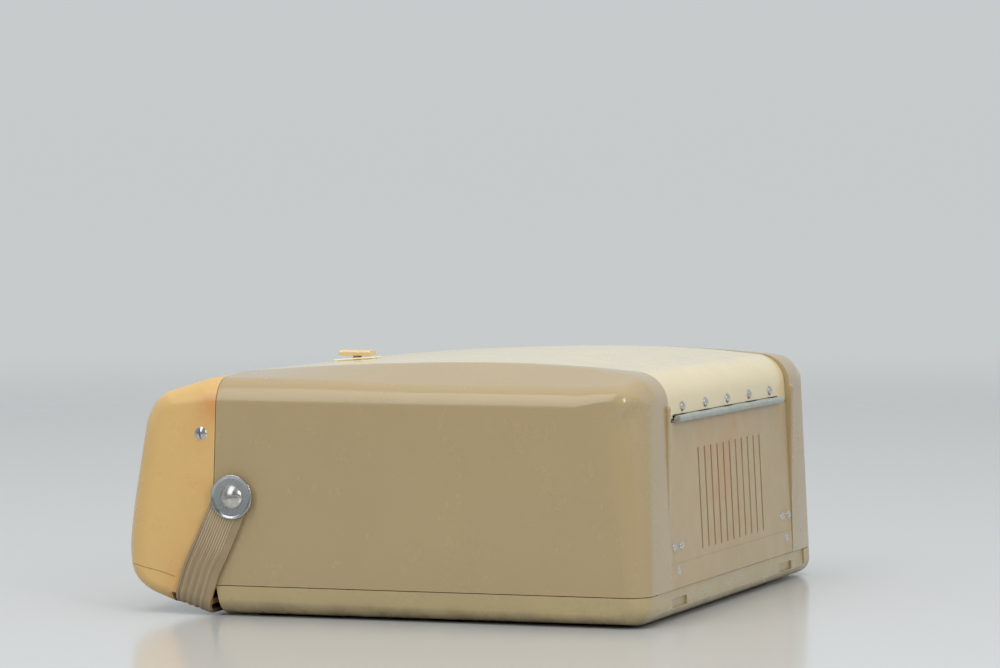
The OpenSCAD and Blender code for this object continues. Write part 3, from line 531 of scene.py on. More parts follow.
def cloth_material():
    """Open speaker cloth: two crossing yarns over a dark ground."""
    s = Shader("speaker_cloth", Sheen_Weight=0.4, Sheen_Roughness=0.5)
    pitch = 2 * math.pi / 0.0009
    waves = []
    for axis in ((pitch, 0, 0), (0, 0, pitch)):
        along = s.node("VectorMath", {0: s.place, 1: axis}, operation="DOT_PRODUCT").outputs["Value"]
        waves.append(s.math("MULTIPLY", s.math("ADD", s.math("SINE", along, 0), 1.0), 0.5))
    weave = s.math("MAXIMUM", waves[0], waves[1])
    yarn = s.noise(420, 3, 0.6, at=s.stretched(3, 1, 0.4))
    tint = s.mix(srgb(120, 98, 60), srgb(186, 160, 108), s.span(yarn, 0.35, 0.65))
    tint = s.mix(srgb(56, 44, 28), tint, s.span(weave, 0.35, 0.8))
    s.link(tint, "Base Color")
    s.link(s.span(yarn, 0.3, 0.7, 0.65, 0.9), "Roughness")
    s.link(s.bump(weave, 0.8, 0.0003), "Normal")
    return s.mat


def strap_material():
    """Grey-brown ribbed vinyl: fine leather grain, with a painted highlight along the crests and painted
    shade in the grooves.
    """
    s = Shader("strap_vinyl", IOR=1.46, Coat_Weight=0.08, Coat_Roughness=0.35)
    base = srgb(149, 131, 101)
    cloud = s.noise(40, 4, 0.6)
    tint = s.mix(scaled(base, 0.92), scaled(base, 1.08), s.span(cloud, 0.35, 0.65))
    crest = s.node("Attribute", attribute_name="crest").outputs["Fac"]
    # Painted highlight on the crests and painted shade in the grooves, keyed to the crest layer
    tint = s.mix(tint, srgb(206, 193, 166), s.span(crest, 0.55, 1.0, 0, 0.7))
    tint = s.mix(tint, srgb(96, 84, 64), s.span(crest, 0.35, 0.0, 0, 0.6))
    s.link(tint, "Base Color")
    s.link(s.span(cloud, 0.3, 0.7, 0.34, 0.48), "Roughness")
    pores = s.spots(1500.0)
    s.link(s.bump(pores, 0.15, 0.0002), "Normal")
    return s.mat


M["board"], M["window"] = board_material(), window_material()
M["cloth"], M["strap"] = cloth_material(), strap_material()

# The slot of each CAD node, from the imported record
SLOT = {part["node"]: part["material_slot"] for part in frame["record"]["subparts"]}

# ======== the moulded case

CROWN_YS = [110 - 8 * i for i in range(24)]
OUTER = ([(-108, FOOT_H, 20), (rear_y(FOOT_H), FOOT_H, 9), (rear_y(134.6), 134.6, 18)]
         + [(y, crown(y), 0) for y in CROWN_YS]
         + [(-97.9, crown(-97.9), 60), (-140.4, 119.5, 24), (-151.3, 55.7, 300), (-154.65, 18.4, 28)])
FLAT_Z = FOOT_H + EDGE_BOTTOM
INNER = ([(-108, FLAT_Z, 12), (rear_y(FLAT_Z) - EDGE_REAR, FLAT_Z, 8),
          (rear_y(SIDE_TOP_Z) - EDGE_REAR, SIDE_TOP_Z, 6)]
         + [(y, SIDE_TOP_Z, 0) for y in CROWN_YS]
         + [(-97.9, SIDE_TOP_Z, 30), (-118.3, 103.4, 12), (-127.4, 55.7, 200), (-130.4, 24.0, 12)])
STEPS = 10
ARC_STEPS = 10
CREASE_R = 30
SHOULDER_X, SHOULDER_Z, SHOULDER_FOOT, FORE_CREASE = 163, 131.6, 117.0, 131
REAR_CREASE, CREASE_MAX, TIGHTEST = 140, 151, 9.0


def section(p, q):
    """Across half of the case: [x, share of the way from outline point p to side point q] points."""
    y, z = p
    top = smooth((z - 112) / 22)
    depth = (p - q).length
    # Towards the front the slope is ruled between the crown and a level shoulder line
    rise = z - SHOULDER_Z
    fore_slope = (rise + math.hypot(rise, 0.8)) / 2 / (SHOULDER_X - FORE_CREASE)
    meets = min(TOP_EDGE_X + (TOP_EDGE_Z - z) / TOP_SLOPE, CREASE_MAX)
    rear_crease = REAR_CREASE + top * (meets - REAR_CREASE)
    back = smooth((y + 60) / 90)
    slope = fore_slope + back * (TOP_SLOPE * top - fore_slope)
    crease = FORE_CREASE + back * (rear_crease - FORE_CREASE)
    drop = slope * (HALF_W - crease)
    turn = math.atan(slope)
    a = min(CREASE_R * math.tan(turn / 2), crease - LID_HALF - 0.2)
    edge, foot_edge = (EDGE_REAR, EDGE_BOTTOM) if y > 0 else (EDGE_FRONT, FRONT_FOOT_R)
    upright = edge + smooth((36 - z) / 18) * (foot_edge - edge)
    over = max(TIGHTEST, z - drop - SHOULDER_FOOT)
    high = smooth((z - 112) / 18)
    limit = upright + high * (over - upright)
    tangent = min(limit, depth - drop - 0.8, (HALF_W - crease) * math.hypot(1, slope) - a - 0.4)
    radius = tangent * math.tan((math.pi / 2 + turn) / 2)
    r = a / math.tan(turn / 2) if turn > 1e-4 else 0
    path = [(0.0, 0.0), (31.0, 0.0), (62.0, 0.0), (94.0, 0.0), (LID_HALF, 0.0)]
    for i in range(5):
        t = turn * i / 4
        bent = (crease - a + r * math.sin(t), r * (1 - math.cos(t)))
        path.append(bent if r else (crease - 2 + i * 0.5, 0.0))
    foot = HALF_W - tangent * math.cos(turn), drop - tangent * math.sin(turn)
    centre = foot[0] - radius * math.sin(turn), foot[1] + radius * math.cos(turn)
    for i in range(ARC_STEPS + 1):
        t = turn + (math.pi / 2 - turn) * i / ARC_STEPS
        path.append((centre[0] + radius * math.sin(t), centre[1] - radius * math.cos(t)))
    path.append((HALF_W, depth))
    return [(x, d / depth) for x, d in path]


FRONT_LIMIT = -152.7


def case_surface():
    """The closed outer surface of the whole case."""
    bm = bmesh.new()
    outer, inner = rounded(OUTER, STEPS), rounded(INNER, STEPS)
    rows = []
    for p, q in zip(outer, inner):
        half = section(p, q)
        line = [(-x, s) for x, s in half[:0:-1]] + half
        rows.append([bm.verts.new((x, max(p.lerp(q, s).x, FRONT_LIMIT), p.lerp(q, s).y)) for x, s in line])
    n, m = len(rows), len(rows[0])
    for i in range(n):
        a, b = rows[i], rows[(i + 1) % n]
        for k in range(m - 1):
            bm.faces.new((a[k], a[k + 1], b[k + 1], b[k]))
    middle = Vector((0, 0, 60))
    for k in (0, m - 1):
        ring = [row[k] for row in rows]
        for share in (0.06, 0.3):
            inside = [bm.verts.new((row[k].co.x, row[k].co.y * (1 - share),
                                    middle.z + (row[k].co.z - middle.z) * (1 - share))) for row in rows]
            for i in range(n):
                j = (i + 1) % n
                bm.faces.new((ring[i], ring[j], inside[j], inside[i]))
            ring = inside
        hub = bm.verts.new((ring[0].co.x, 0, middle.z))
        for i in range(n):
            bm.faces.new((ring[i], ring[(i + 1) % n], hub))
    bmesh.ops.recalc_face_normals(bm, faces=bm.faces)
    return bm


CASE = case_surface()
HOLLOW = CASE.copy()
HOLLOW.normal_update()
for vert, normal in [(v, v.normal.copy()) for v in HOLLOW.verts]:
    vert.co -= normal * WALL


def side_prism(outline, half_width=200, middle=0):
    """A solid with a [y, z] outline, extruded across the case."""
    bm = bmesh.new()
    add_prism(bm, outline, middle - half_width, middle + half_width)
    return bm


REAR_FLARE = 2.9


def flared(surface):
    """The case with its back a little further out towards the top, as the side shells have it."""
    made = surface.copy()
    for v in made.verts:
        v.co.y += REAR_FLARE * smooth((v.co.z - 30) / 80) * smooth((v.co.y - 60) / 70)
    return made


def shell(name, region, hollow_region=None, case=CASE, hollow=HOLLOW):
    """A piece of the case's wall: what lies in the region, hollowed out."""
    obj = new_object(name, case.copy())
    combine(obj, region, "INTERSECT")
    if hollow_region:
        inner = new_object("inner", hollow.copy())
        combine(inner, hollow_region, "INTERSECT")
        mod = obj.modifiers.new("cut", "BOOLEAN")
        mod.object, mod.operation, mod.solver = inner, "DIFFERENCE", "EXACT"
        bake(obj)
        bpy.data.objects.remove(inner)
    else:
        combine(obj, hollow.copy())
    return obj


def side_profile(low, front, inset):
    """The [y, z] outline of the case above low and behind front, moved in a little."""
    pts = [p for p in rounded(OUTER, STEPS) if p.y > low]
    pts = [Vector((p.x - (inset if p.x > 120 else 0), p.y - (inset if p.y > 125 else 0))) for p in pts]
    rear = [p for p in pts if p.x > front]
    foot = [Vector((front, low)), Vector((rear_y(low) - inset, low))]
    return foot + rear + [Vector((front, crown(front) - inset))]


# ---- front bezel

CHANNEL_Y, CHANNEL_Z = (-122.6, -92.0), (12.6, 4.0)
SCREW_Y, SCREW_Z = -104.75, 100.8
KNOB_X, KNOB_V, KEY_U, KEY_V = 112, 31, 52, 18
KEY_W, KEY_H, KEY_PITCH, KEY_GAP = 18, 8, 20, 0.3
WINDOW = (-80, 26, 80, 38)
SLOT_LOW, SLOT_HIGH, SLOT_PITCH, SLOT_REACH, SLOT_W = -27, 8, 7, 119, 2.6


def seam_line(gap):
    """Two points of the leaning joint behind the bezel, below and above the case."""
    return [(seam_y(-20) + gap, -20), (seam_y(200) + gap, 200)]


FAR = 300
bezel = shell("bezel_casing", side_prism(seam_line(-GAP) + [(-FAR, 200), (-FAR, -20)]))

tool = bmesh.new()
add_prism(tool, [(CHANNEL_Y[0], -5), (CHANNEL_Y[0], CHANNEL_Z[0]), (CHANNEL_Y[1], CHANNEL_Z[1]),
                 (CHANNEL_Y[1], -5)], -185, 185)
for side in (-1, 1):
    add_lathe(tool, plug(1.3, -5, 3), on_side(side * HALF_W, SCREW_Y, SCREW_Z), 16)
combine(bezel, tool)

tool = bmesh.new()
round_slot = oblong(-SLOT_W / 2, SLOT_LOW, SLOT_W / 2, SLOT_HIGH, 1.25, 4)
for i in range(2 * SLOT_REACH // SLOT_PITCH + 1):
    u = -SLOT_REACH + i * SLOT_PITCH
    add_prism(tool, [(p.x + u, p.y) for p in round_slot], -12, 4, "z", ON_FACE)
add_prism(tool, oblong(*WINDOW, 1.5, 4), -8, 6, "z", ON_FACE)
for side in (-1, 1):
    add_lathe(tool, plug(4, -8, 4), ON_FACE @ moved(side * KNOB_X, KNOB_V, 0), 24)
for i in range(4):
    u, w, h = KEY_U + (i - 1.5) * KEY_PITCH, KEY_W / 2 + KEY_GAP, KEY_H / 2 + KEY_GAP
    add_prism(tool, oblong(u - w, KEY_V - h, u + w, KEY_V + h, 1, 3), -8, 4, "z", ON_FACE)
combine(bezel, tool)
soften(bezel, 0.35)

# The channel's roof, trimmed to the outside of the case, and the ledge and well wall inside
roof = bmesh.new()
front, top = CHANNEL_Y[0], CHANNEL_Z[0]
add_prism(roof, [(front, top), (seam_y(6) - GAP, 6.15), (seam_y(9) - GAP, 9.15), (front - WALL, top + WALL),
                 (front - WALL, 2.2), (front, 2.2)], -173.6, 173.6)
roof = new_object("roof", roof)
combine(roof, CASE.copy(), "INTERSECT")
inside = bmesh.new()
add_box(inside, (-124, -104, 127.2), (124, -99.5, 130))
add_box(inside, (-124, -99.4, 127.2), (124, -91, 130))
add_box(inside, (-124, -101.5, 106.4), (124, -99, 127))
inside = new_object("inside", inside)
soften(inside, 0.3)


def join(obj, *others):
    """Adds the other meshes to obj."""
    bm = bmesh.new()
    for o in (obj, *others):
        bm.from_mesh(o.data)
    bm.to_mesh(obj.data)
    bm.free()
    for o in others:
        bpy.data.objects.remove(o)


join(bezel, roof, inside)
place(bezel, "cabinet", M["bezel"], "bezel", "front_bezel")

# ---- side shells, with the well's side wall, the deck's shelf and the fin that guards the hinge

FIN_TOP, FIN_FOOT, FIN_T, FIN_PROUD, FIN_EDGE_Y = 118.6, 22.0, 4.0, 0.12, 153.5 - 0.01 * 118.6
PIVOT = (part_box("pivot_washers")[0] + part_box("pivot_washers")[1]) / 2 / MM
PIVOT_Y, PIVOT_Z = PIVOT.y, PIVOT.z
DECK_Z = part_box("deck_plate")[1].z / MM

for side, word in ((1, "right"), (-1, "left")):
    wall_x = LID_HALF + 2 * GAP
    low, high = SPLIT + GAP, 200
    obj = shell("side_casing_" + word, side_prism([(seam_y(low) + GAP, low), (FAR, low), (FAR, high),
                                                   (seam_y(high) + GAP, high)], 50, side * (wall_x + 50)),
                case=flared(CASE), hollow=flared(HOLLOW))
    tool = bmesh.new()
    add_lathe(tool, plug(4.1, -8, 5), on_side(side * HALF_W, PIVOT_Y, PIVOT_Z), 32)
    combine(obj, tool)
    soften(obj, 0.45)
    inside = bmesh.new()
    a, b = sorted((side * wall_x, side * (wall_x + 2.4)))
    add_prism(inside, side_profile(DECK_Z - 6, seam_y(120) + GAP, 1.0), a, b)
    a, b = sorted((side * (wall_x - 7), side * (wall_x + 1)))
    add_box(inside, (a, -88, DECK_Z - 6), (b, 136, DECK_Z - 2.1))
    inside = new_object("inside", inside)
    soften(inside, 0.25)
    fin = bmesh.new()
    a, b = sorted((side * (wall_x - FIN_PROUD), side * (wall_x + FIN_T)))
    add_prism(fin, rounded([(rear_y(FIN_FOOT) - 4, FIN_FOOT, 0), (rear_y(FIN_FOOT) - 0.5, FIN_FOOT, 0),
                            (FIN_EDGE_Y, FIN_TOP, 3), (rear_y(FIN_TOP) - 4, FIN_TOP, 0)], 5), a, b)
    fin = new_object("fin", fin)
    soften(fin, 1.1, segments=3)
    join(obj, inside, fin)
    place(obj, "cabinet", M["shell"], "shell", "side_shell_" + word)

# ---- tray

TRAY_TOP = SPLIT - GAP
RECESS_X, RECESS_W = 109.6, 28.2
FOOT_X, FOOT_Y = 140, (-75, 122)
TRAY_FRONT_Y, TRAY_FOOT_Y = -95.85, -92.85


def behind_tray_front(t, top):
    """Everything behind the tray's front wall, moved back by t."""
    front_y, foot_y = TRAY_FRONT_Y + t, TRAY_FOOT_Y + t
    return side_prism([(foot_y, -10), (FAR, -10), (FAR, top), (front_y, top), (front_y, TRAY_TOP - 0.01),
                       (foot_y, FOOT_H)])


tray = shell("tray_casing", behind_tray_front(0, TRAY_TOP), behind_tray_front(2.5, 60))
tool = bmesh.new()
recess = moved(0, REAR_FOOT_Y, 0) @ Matrix.Rotation(REAR_LEAN, 4, "X")
add_box(tool, (-150, -0.9, -5), (150, 10, 40), recess)
combine(tray, tool)
tool = bmesh.new()
for x in (-RECESS_X, RECESS_X):
    add_box(tool, (x - RECESS_W / 2, rear_y(9.5) - 2.2, 7), (x + RECESS_W / 2, rear_y(9.5) + 4, 12))
for x in (-FOOT_X, FOOT_X):
    for y in FOOT_Y:
        add_lathe(tool, plug(2.6, -5, 10), moved(x, y, 0), 20)
combine(tray, tool)
soften(tray, 0.4)
place(tray, "cabinet", M["tray"], "tray", "bottom_tray")

# ---- back panel

VENTS, VENT_PITCH, VENT_W, VENT_Z = 11, 12.6, 2.5, (34.3, 91.5)
SHANK_HOLE = plug(1.3, -8, 3)
PANEL_RIVETS = [(104.6, 39.9), (118, 39.9), (111.3, 26.3)]
LID_RIVET_Z, LID_RIVET_X = 115.8, (-90, -45, 0, 45, 90)

low = SPLIT + GAP
panel = shell("back_panel_casing", side_prism([(120, low), (FAR, low), (FAR, PANEL_TOP), (120, PANEL_TOP)],
                                              LID_HALF + 0.1))
tool = bmesh.new()
for i in range(VENTS):
    x = (i - (VENTS - 1) / 2) * VENT_PITCH
    ring = oblong(x - VENT_W / 2, VENT_Z[0], x + VENT_W / 2, VENT_Z[1], 1.2, 4)
    add_prism(tool, ring, -175, -120, "z", Matrix.Rotation(math.pi / 2, 4, "X"))
PANEL_PLACES = [(side * x, z) for side in (-1, 1) for x, z in PANEL_RIVETS]
for x, z in PANEL_PLACES:
    add_lathe(tool, SHANK_HOLE, on_rear(z) @ moved(x, 0, 0), 16)
combine(panel, tool)
soften(panel, 0.35)
place(panel, "cabinet", M["panel"], "panel", "back_panel")

# ---- lid

NOTCH_HALF, NOTCH_Z = 108.4, 111.6
LATCH_Y = -79.35

lid = shell("lid_casing", side_prism([(seam_y(LID_FOOT) + GAP, LID_FOOT), (FAR, LID_FOOT), (FAR, 200),
                                      (seam_y(200) + GAP, 200)], LID_HALF))
tool = bmesh.new()
add_box(tool, (-NOTCH_HALF, 130, 100), (NOTCH_HALF, 170, NOTCH_Z))
add_box(tool, (-2.5, LATCH_Y - 2.5, 120), (2.5, LATCH_Y + 6.5, 160))
for x in LID_RIVET_X:
    add_lathe(tool, SHANK_HOLE, on_rear(LID_RIVET_Z) @ moved(x, 0, 0), 16)
combine(lid, tool)
soften(lid, 0.5)
place(lid, "lid", M["lid"], "lid", "lid")

# ======== rivets, screws and washers


RIVET_R = 2.75


def rivets(name, places, t, body, node):
    """Domed rivets at on_rear places, each with its shank and its spread tail."""
    bm = bmesh.new()
    tail = [(RIVET_R, 0), (1.2, 0), (1.2, -t - 0.1), (2.2, -t - 0.1), (1.9, -t - 1.1), (0, -t - 1.2)]
    for x, z in places:
        profile = dome_profile(RIVET_R, 1.07 if z < 30 else 1.65 if z < 100 else 1.95, 0.3)[:-1] + tail
        add_lathe(bm, profile, on_rear(z) @ moved(x, 0, 0.02), 28)
    place(new_object(name, bm), body, M["rivets"], "rivets", node, angle=50)


rivets("panel_rivet_set", PANEL_PLACES, WALL, "cabinet", "back_rivets")
rivets("lid_rivet_set", [(x, LID_RIVET_Z) for x in LID_RIVET_X], WALL + 0.8, "lid", "lid_rivets")


def slotted(name, r, h, shank_r, shank, slot, sides, body, node):
    """Domed screws with a slot given as (width, depth, angle), one at each on_side frame."""
    width, deep, angle = slot
    obj = None
    for k, at in enumerate(sides):
        bm = bmesh.new()
        profile = dome_profile(r, h, 0.3, 0.0, 12) + [(shank_r, 0), (shank_r, -shank), (0, -shank)]
        add_lathe(bm, profile, at, 48)
        one = new_object(name if k == 0 else "other", bm)
        tool = bmesh.new()
        add_box(tool, (-r - 2, -width / 2, h - deep), (r + 2, width / 2, h + 3),
                at @ Matrix.Rotation(math.radians(angle), 4, "Z"))
        combine(one, tool)
        soften(one, 0.12, 50)
        if obj:
            join(obj, one)
        else:
            obj = one
    return place(obj, body, M["screws"], "screws", node, angle=40)


WASHER_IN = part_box("pivot_screws")[1].x / MM - 2.6 - 0.95
slotted("bezel_screw_pair", 3.75, 1.3, 1.2, 7, (1.1, 1.05, 8),
        [on_side(s * (HALF_W + 0.02), SCREW_Y, SCREW_Z) for s in (1, -1)], "cabinet", "bezel_screws")
slotted("pivot_screw_pair", 6.5, 2.6, 2, 7, (1.3, 1.7, 100),
        [on_side(s * (WASHER_IN + 0.95), PIVOT_Y, PIVOT_Z) for s in (1, -1)], "cabinet", "pivot_screws")

bm = bmesh.new()
WASHER = [(2.2, 0), (12.0, 0), (12.3, 0.3), (12.3, 1.05), (12.15, 1.38), (11.85, 1.5), (11.5, 1.45),
          (11.1, 1.1), (10.7, 0.95), (10.1, 0.9), (6.9, 0.88), (6.5, 0.8), (6.3, 0.8), (2.2, 0.8)]
for s in (1, -1):
    add_lathe(bm, WASHER, on_side(s * WASHER_IN, PIVOT_Y, PIVOT_Z), 72)
place(new_object("pivot_washer_pair", bm), "cabinet", M["washers"], "washers", "pivot_washers", angle=50)

# ======== the strap

X_OUT = Vector((1, 0, 0))
STRAP_W, STRAP_T = 21.5, 2.4
ARM_X = HALF_W + 0.4 + STRAP_T / 2
LEAN, TILT = math.radians(24), math.radians(17.3)
GRIP_Y, GRIP_Z = -110.6, 3.9
ARM_LEN, BEND_R = 45.6, 9.0
ARM_UP, GRIP_UP = Vector((0, math.sin(LEAN), math.cos(LEAN))), Vector((0, math.sin(TILT), math.cos(TILT)))
ARM_ACROSS, GRIP_ACROSS = Vector((0, ARM_UP.z, -ARM_UP.y)), Vector((0, GRIP_UP.z, -GRIP_UP.y))
PIVOT_AT = Vector((ARM_X, PIVOT_Y, PIVOT_Z))
GRIP_AT = Vector((0, GRIP_Y, GRIP_Z))
JOIN_V = (PIVOT_AT - ARM_UP * ARM_LEN - GRIP_AT).dot(GRIP_UP)


def strap_stations():
    """[centre, across, outward, half width, distance from the pivot], down the right side to the middle."""
    made = []
    r = STRAP_W / 2
    for i in range(15):
        a = math.pi / 2 * (1 - i / 14)
        rise, half = r * math.sin(a), max(0.4, r * math.cos(a))
        made.append((PIVOT_AT + ARM_UP * rise, ARM_ACROSS, X_OUT, half, -rise))
    end = JOIN_V - BEND_R + ARM_LEN
    steps = 60
    for i in range(1, steps + 1):
        u = end * i / steps
        w = smooth((u - 30) / 24)
        low = GRIP_AT + GRIP_UP * (JOIN_V + ARM_LEN - u)
        low.x = ARM_X
        across = ARM_ACROSS.lerp(GRIP_ACROSS, w).normalized()
        made.append(((PIVOT_AT - ARM_UP * u).lerp(low, w), across, X_OUT, r, u))
    bend, centre_x = BEND_R - STRAP_T / 2, HALF_W + 0.4 + STRAP_T - BEND_R
    for i in range(1, 13):
        a = math.pi / 2 * i / 12
        out = X_OUT * math.cos(a) - GRIP_UP * math.sin(a)
        at = GRIP_AT + GRIP_UP * BEND_R + X_OUT * centre_x + out * bend
        made.append((at, GRIP_ACROSS, out, r, end + bend * a))
    far = end + bend * math.pi / 2
    for i in range(1, 41):
        x = centre_x * (1 - i / 40)
        at = GRIP_AT + X_OUT * x + GRIP_UP * STRAP_T / 2
        made.append((at, GRIP_ACROSS, -GRIP_UP, r, far + centre_x - x))
    return made


def rib(v, u):
    """Height of the strap's outer face at v across and u along, as (mm, share of a crest)."""
    if not -0.86 < v < 0.62:
        edge = min(1.0, (1 - abs(v)) / 0.12)
        return -0.25 * (1 - smooth(edge)), 0.5
    t = (v + 0.86) / 1.48
    fine = (0.5 - 0.5 * math.cos(2 * math.pi * 11 * t)) ** 1.4
    broad = 0.5 - 0.5 * math.cos(2 * math.pi * 4 * t)
    fade = smooth((u - 26) / 24)
    depth, level = 0.36 * (1 - fade) + 0.5 * fade, fine * (1 - fade) + broad * fade
    return -depth * (1 - level), (0.3 + 0.65 * fine) * (1 - fade) + (0.2 + 0.5 * broad) * fade


def strap_piece():
    """The whole strap as one closed mesh, with a crest layer that the painted highlight and shade of its
    colour are keyed to.
    """
    bm = bmesh.new()
    crest = bm.verts.layers.float.new("crest")
    right = strap_stations()
    left = [(Vector((-c.x, c.y, c.z)), a, Vector((-o.x, o.y, o.z)), w, u) for c, a, o, w, u in right[:-1]]
    rows = []
    count = 132
    for c, across, out, half, u in right + left[::-1]:
        row = []
        for k in range(count + 1):
            v = -1 + 2 * k / count
            h, level = rib(v, u)
            h *= min(1, half / 4)
            vert = bm.verts.new(c + across * half * v + out * (STRAP_T / 2 + h))
            vert[crest] = level
            row.append(vert)
        for k in range(9):
            v = 1 - 2 * k / 8
            inner = bm.verts.new(c + across * half * v * 0.985 - out * STRAP_T / 2)
            inner[crest] = 0.4
            row.append(inner)
        rows.append(row)
    n = len(rows[0])
    for a, b in zip(rows, rows[1:]):
        for k in range(n):
            bm.faces.new((a[k], a[(k + 1) % n], b[(k + 1) % n], b[k]))
    bm.faces.new(rows[0])
    bm.faces.new(rows[-1][::-1])
    return new_object("ribbed_strap", bm)


strap = strap_piece()
finish_mesh(strap, 60)
strap.data.materials.append(M["strap"])
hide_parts("handle_arm_left", "handle_arm_right", "handle_grip")
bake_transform(strap)

# ======== latch

LATCH_TOP = crown(LATCH_Y)
LATCH_LEAN = Matrix.Rotation(math.atan((CREST_Y - LATCH_Y) / 1670), 4, "X")
bm = bmesh.new()
at = moved(0, LATCH_Y, LATCH_TOP + 0.25) @ LATCH_LEAN
add_prism(bm, oblong(-7, -13, 7, 13, 2, 5), 0, 0.95, "z", at)
base = new_object("latch_plate", bm)
tool = bmesh.new()
add_box(tool, (-2.5, LATCH_Y - 2.5, 120), (2.5, LATCH_Y + 6.5, 160))
combine(base, tool)
soften(base, 0.3, segments=3)
place(base, "lid", M["lid_trim"], "lid_trim", "latch_base")

bm = bmesh.new()
bar = rounded([(-4.6, 2.5, 0.4), (4.6, 2.5, 0.4), (5.6, 5.6, 1.2), (-5.6, 5.6, 1.2)], 5)
turn = moved(0, LATCH_Y, LATCH_TOP) @ Matrix.Rotation(math.pi / 2, 4, "X")
add_prism(bm, bar, -10, 10, "z", turn)
slider = new_object("latch_thumb_bar", bm)
soften(slider, 1.1, 50, 4)
bm = bmesh.new()
add_box(bm, (-2, LATCH_Y - 2, LATCH_TOP - 9), (2, LATCH_Y + 2, LATCH_TOP + 2.8))
add_box(bm, (-5, LATCH_Y - 11, LATCH_TOP - 11), (5, LATCH_Y + 2, LATCH_TOP - 8.9))
stem = new_object("stem", bm)
soften(stem, 0.3)
join(slider, stem)
place(slider, "latch", M["latch"], "latch", "latch_slider")

# ======== front controls

FLUTES = 24
KNOB_PROFILE = [(0, 4.3), (2.0, 4.3), (5.0, 4.35), (8.2, 4.45), (8.7, 4.75), (9.4, 5.15), (10.4, 5.2),
                (12.1, 5.1), (12.9, 4.7), (13.35, 3.9), (13.5, 1.2), (13.5, 0.5), (12.9, 0.0),
                (3.05, 0.0), (3.05, 3.4), (0, 3.4)]


def fluted(r, h, a):
    """The knob's grip: scalloped round its rim above the skirt."""
    depth = smooth((r - 11.6) / 1.2) * smooth((h - 0.9) / 0.8)
    return r - 0.55 * depth * (0.5 + 0.5 * math.cos(FLUTES * a)) ** 2


for side, body, word in ((1, "tuning", "tuning_knob"), (-1, "volume", "volume_knob")):
    at = ON_FACE @ moved(side * KNOB_X, KNOB_V, 0.8)
    bm = bmesh.new()
    add_lathe(bm, KNOB_PROFILE, at, 192, fluted)
    add_lathe(bm, [(0, 5.0), (0.6, 4.95), (0.85, 4.7), (0.9, 4.2), (0, 4.2)],
              at @ moved(0, 7.4, 0), 20)
    place(new_object(word + "_turned", bm), body, M["knob"], "knob", word, angle=45)

for i in range(4):
    bm = bmesh.new()
    u = KEY_U + (i - 1.5) * KEY_PITCH
    at = ON_FACE @ moved(u, KEY_V, 0)
    w, h = KEY_W / 2, KEY_H / 2
    add_prism(bm, oblong(-w, -h, w, h, 1, 5), -4.5, 3.9, "z", at)
    key = new_object(f"key_cap_{i + 1}", bm)
    tool = bmesh.new()
    dish = Matrix.Rotation(math.pi / 2, 4, "Y")
    add_lathe(tool, plug(14, -20, 20), at @ moved(0, 0, 17.3) @ dish, 96)
    combine(key, tool)
    soften(key, 0.45, 40, 3)
    bm = bmesh.new()
    add_box(bm, (-2, -2, -24), (2, 2, -4), at)
    join(key, new_object("stem", bm))
    place(key, f"key_{i + 1}", M["key"], "key", f"band_key_{i + 1}")

# The speaker cloth: one woven sheet stretched behind the slots
CLOTH_W, CLOTH_H = 244.0, 41.0
CLOTH_LOW, CLOTH_FRONT, CLOTH_BACK = -29, -6.0, -6.4
bm = bmesh.new()
columns, lines = 244, 41
grid = []
for face_w in (CLOTH_FRONT, CLOTH_BACK):
    rows = []
    for j in range(lines + 1):
        row = []
        for i in range(columns + 1):
            u, v = -CLOTH_W / 2 + CLOTH_W * i / columns, CLOTH_LOW + CLOTH_H * j / lines
            dip = 0.05 * (0.5 + 0.5 * math.sin(i * 1.9) * math.cos(j * 2.3))
            w = face_w - dip if face_w == CLOTH_FRONT else face_w + dip
            row.append(bm.verts.new(ON_FACE @ Vector((u, v, w))))
        rows.append(row)
    grid.append(rows)
for side, rows in enumerate(grid):
    for a, b in zip(rows, rows[1:]):
        for i in range(columns):
            quad = (a[i], a[i + 1], b[i + 1], b[i])
            bm.faces.new(quad if side == 0 else quad[::-1])
rim = [[(j, 0) for j in range(lines + 1)], [(lines, i) for i in range(columns + 1)],
       [(j, columns) for j in range(lines, -1, -1)], [(0, i) for i in range(columns, -1, -1)]]
for path in rim:
    for (j0, i0), (j1, i1) in zip(path, path[1:]):
        bm.faces.new((grid[0][j0][i0], grid[0][j1][i1], grid[1][j1][i1], grid[1][j0][i0]))
cloth = place(new_object("speaker_cloth_sheet", bm), "cabinet", M["cloth"], "cloth", "grille_cloth", angle=60)

# Raised scale numbers on the dial card
for i, word in enumerate(("55", "60", "70", "80", "100", "120", "140", "160")):
    text = bpy.data.curves.new("scale_" + word, "FONT")
    text.body, text.size, text.extrude, text.align_x = word, 3.6 * MM, 0.05 * MM, "CENTER"
    obj = bpy.data.objects.new("scale_" + word, text)
    bpy.context.scene.collection.objects.link(obj)
    bpy.context.view_layer.update()
    mesh = bpy.data.meshes.new_from_object(obj.evaluated_get(bpy.context.evaluated_depsgraph_get()))
    bpy.data.objects.remove(obj)
    at = ON_FACE.copy() @ moved(-70 + i * 20, 28.6 + 4.4, -5.55)
    at.translation *= MM
    mesh.transform(at)
    number = bpy.data.objects.new("scale_number_" + word, mesh)
    bpy.context.scene.collection.objects.link(number)
    mesh.materials.append(M["board"])
    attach(number, "cabinet")

# ======== carried-over CAD nodes

for name, obj in frame["nodes"].items():
    if obj.hide_render:
        continue
    obj.data.materials.clear()
    obj.data.materials.append(M[SLOT[name]])
    obj.data.shade_smooth()
    obj.modifiers.new("normals", "WEIGHTED_NORMAL").keep_sharp = True
    bm = bmesh.new()
    bm.from_mesh(obj.data)
    mark_sharp(bm, 32)
    bm.to_mesh(obj.data)
    bm.free()

# ======== stage, light and camera

FLOOR_PALE = srgb(192, 193, 192)

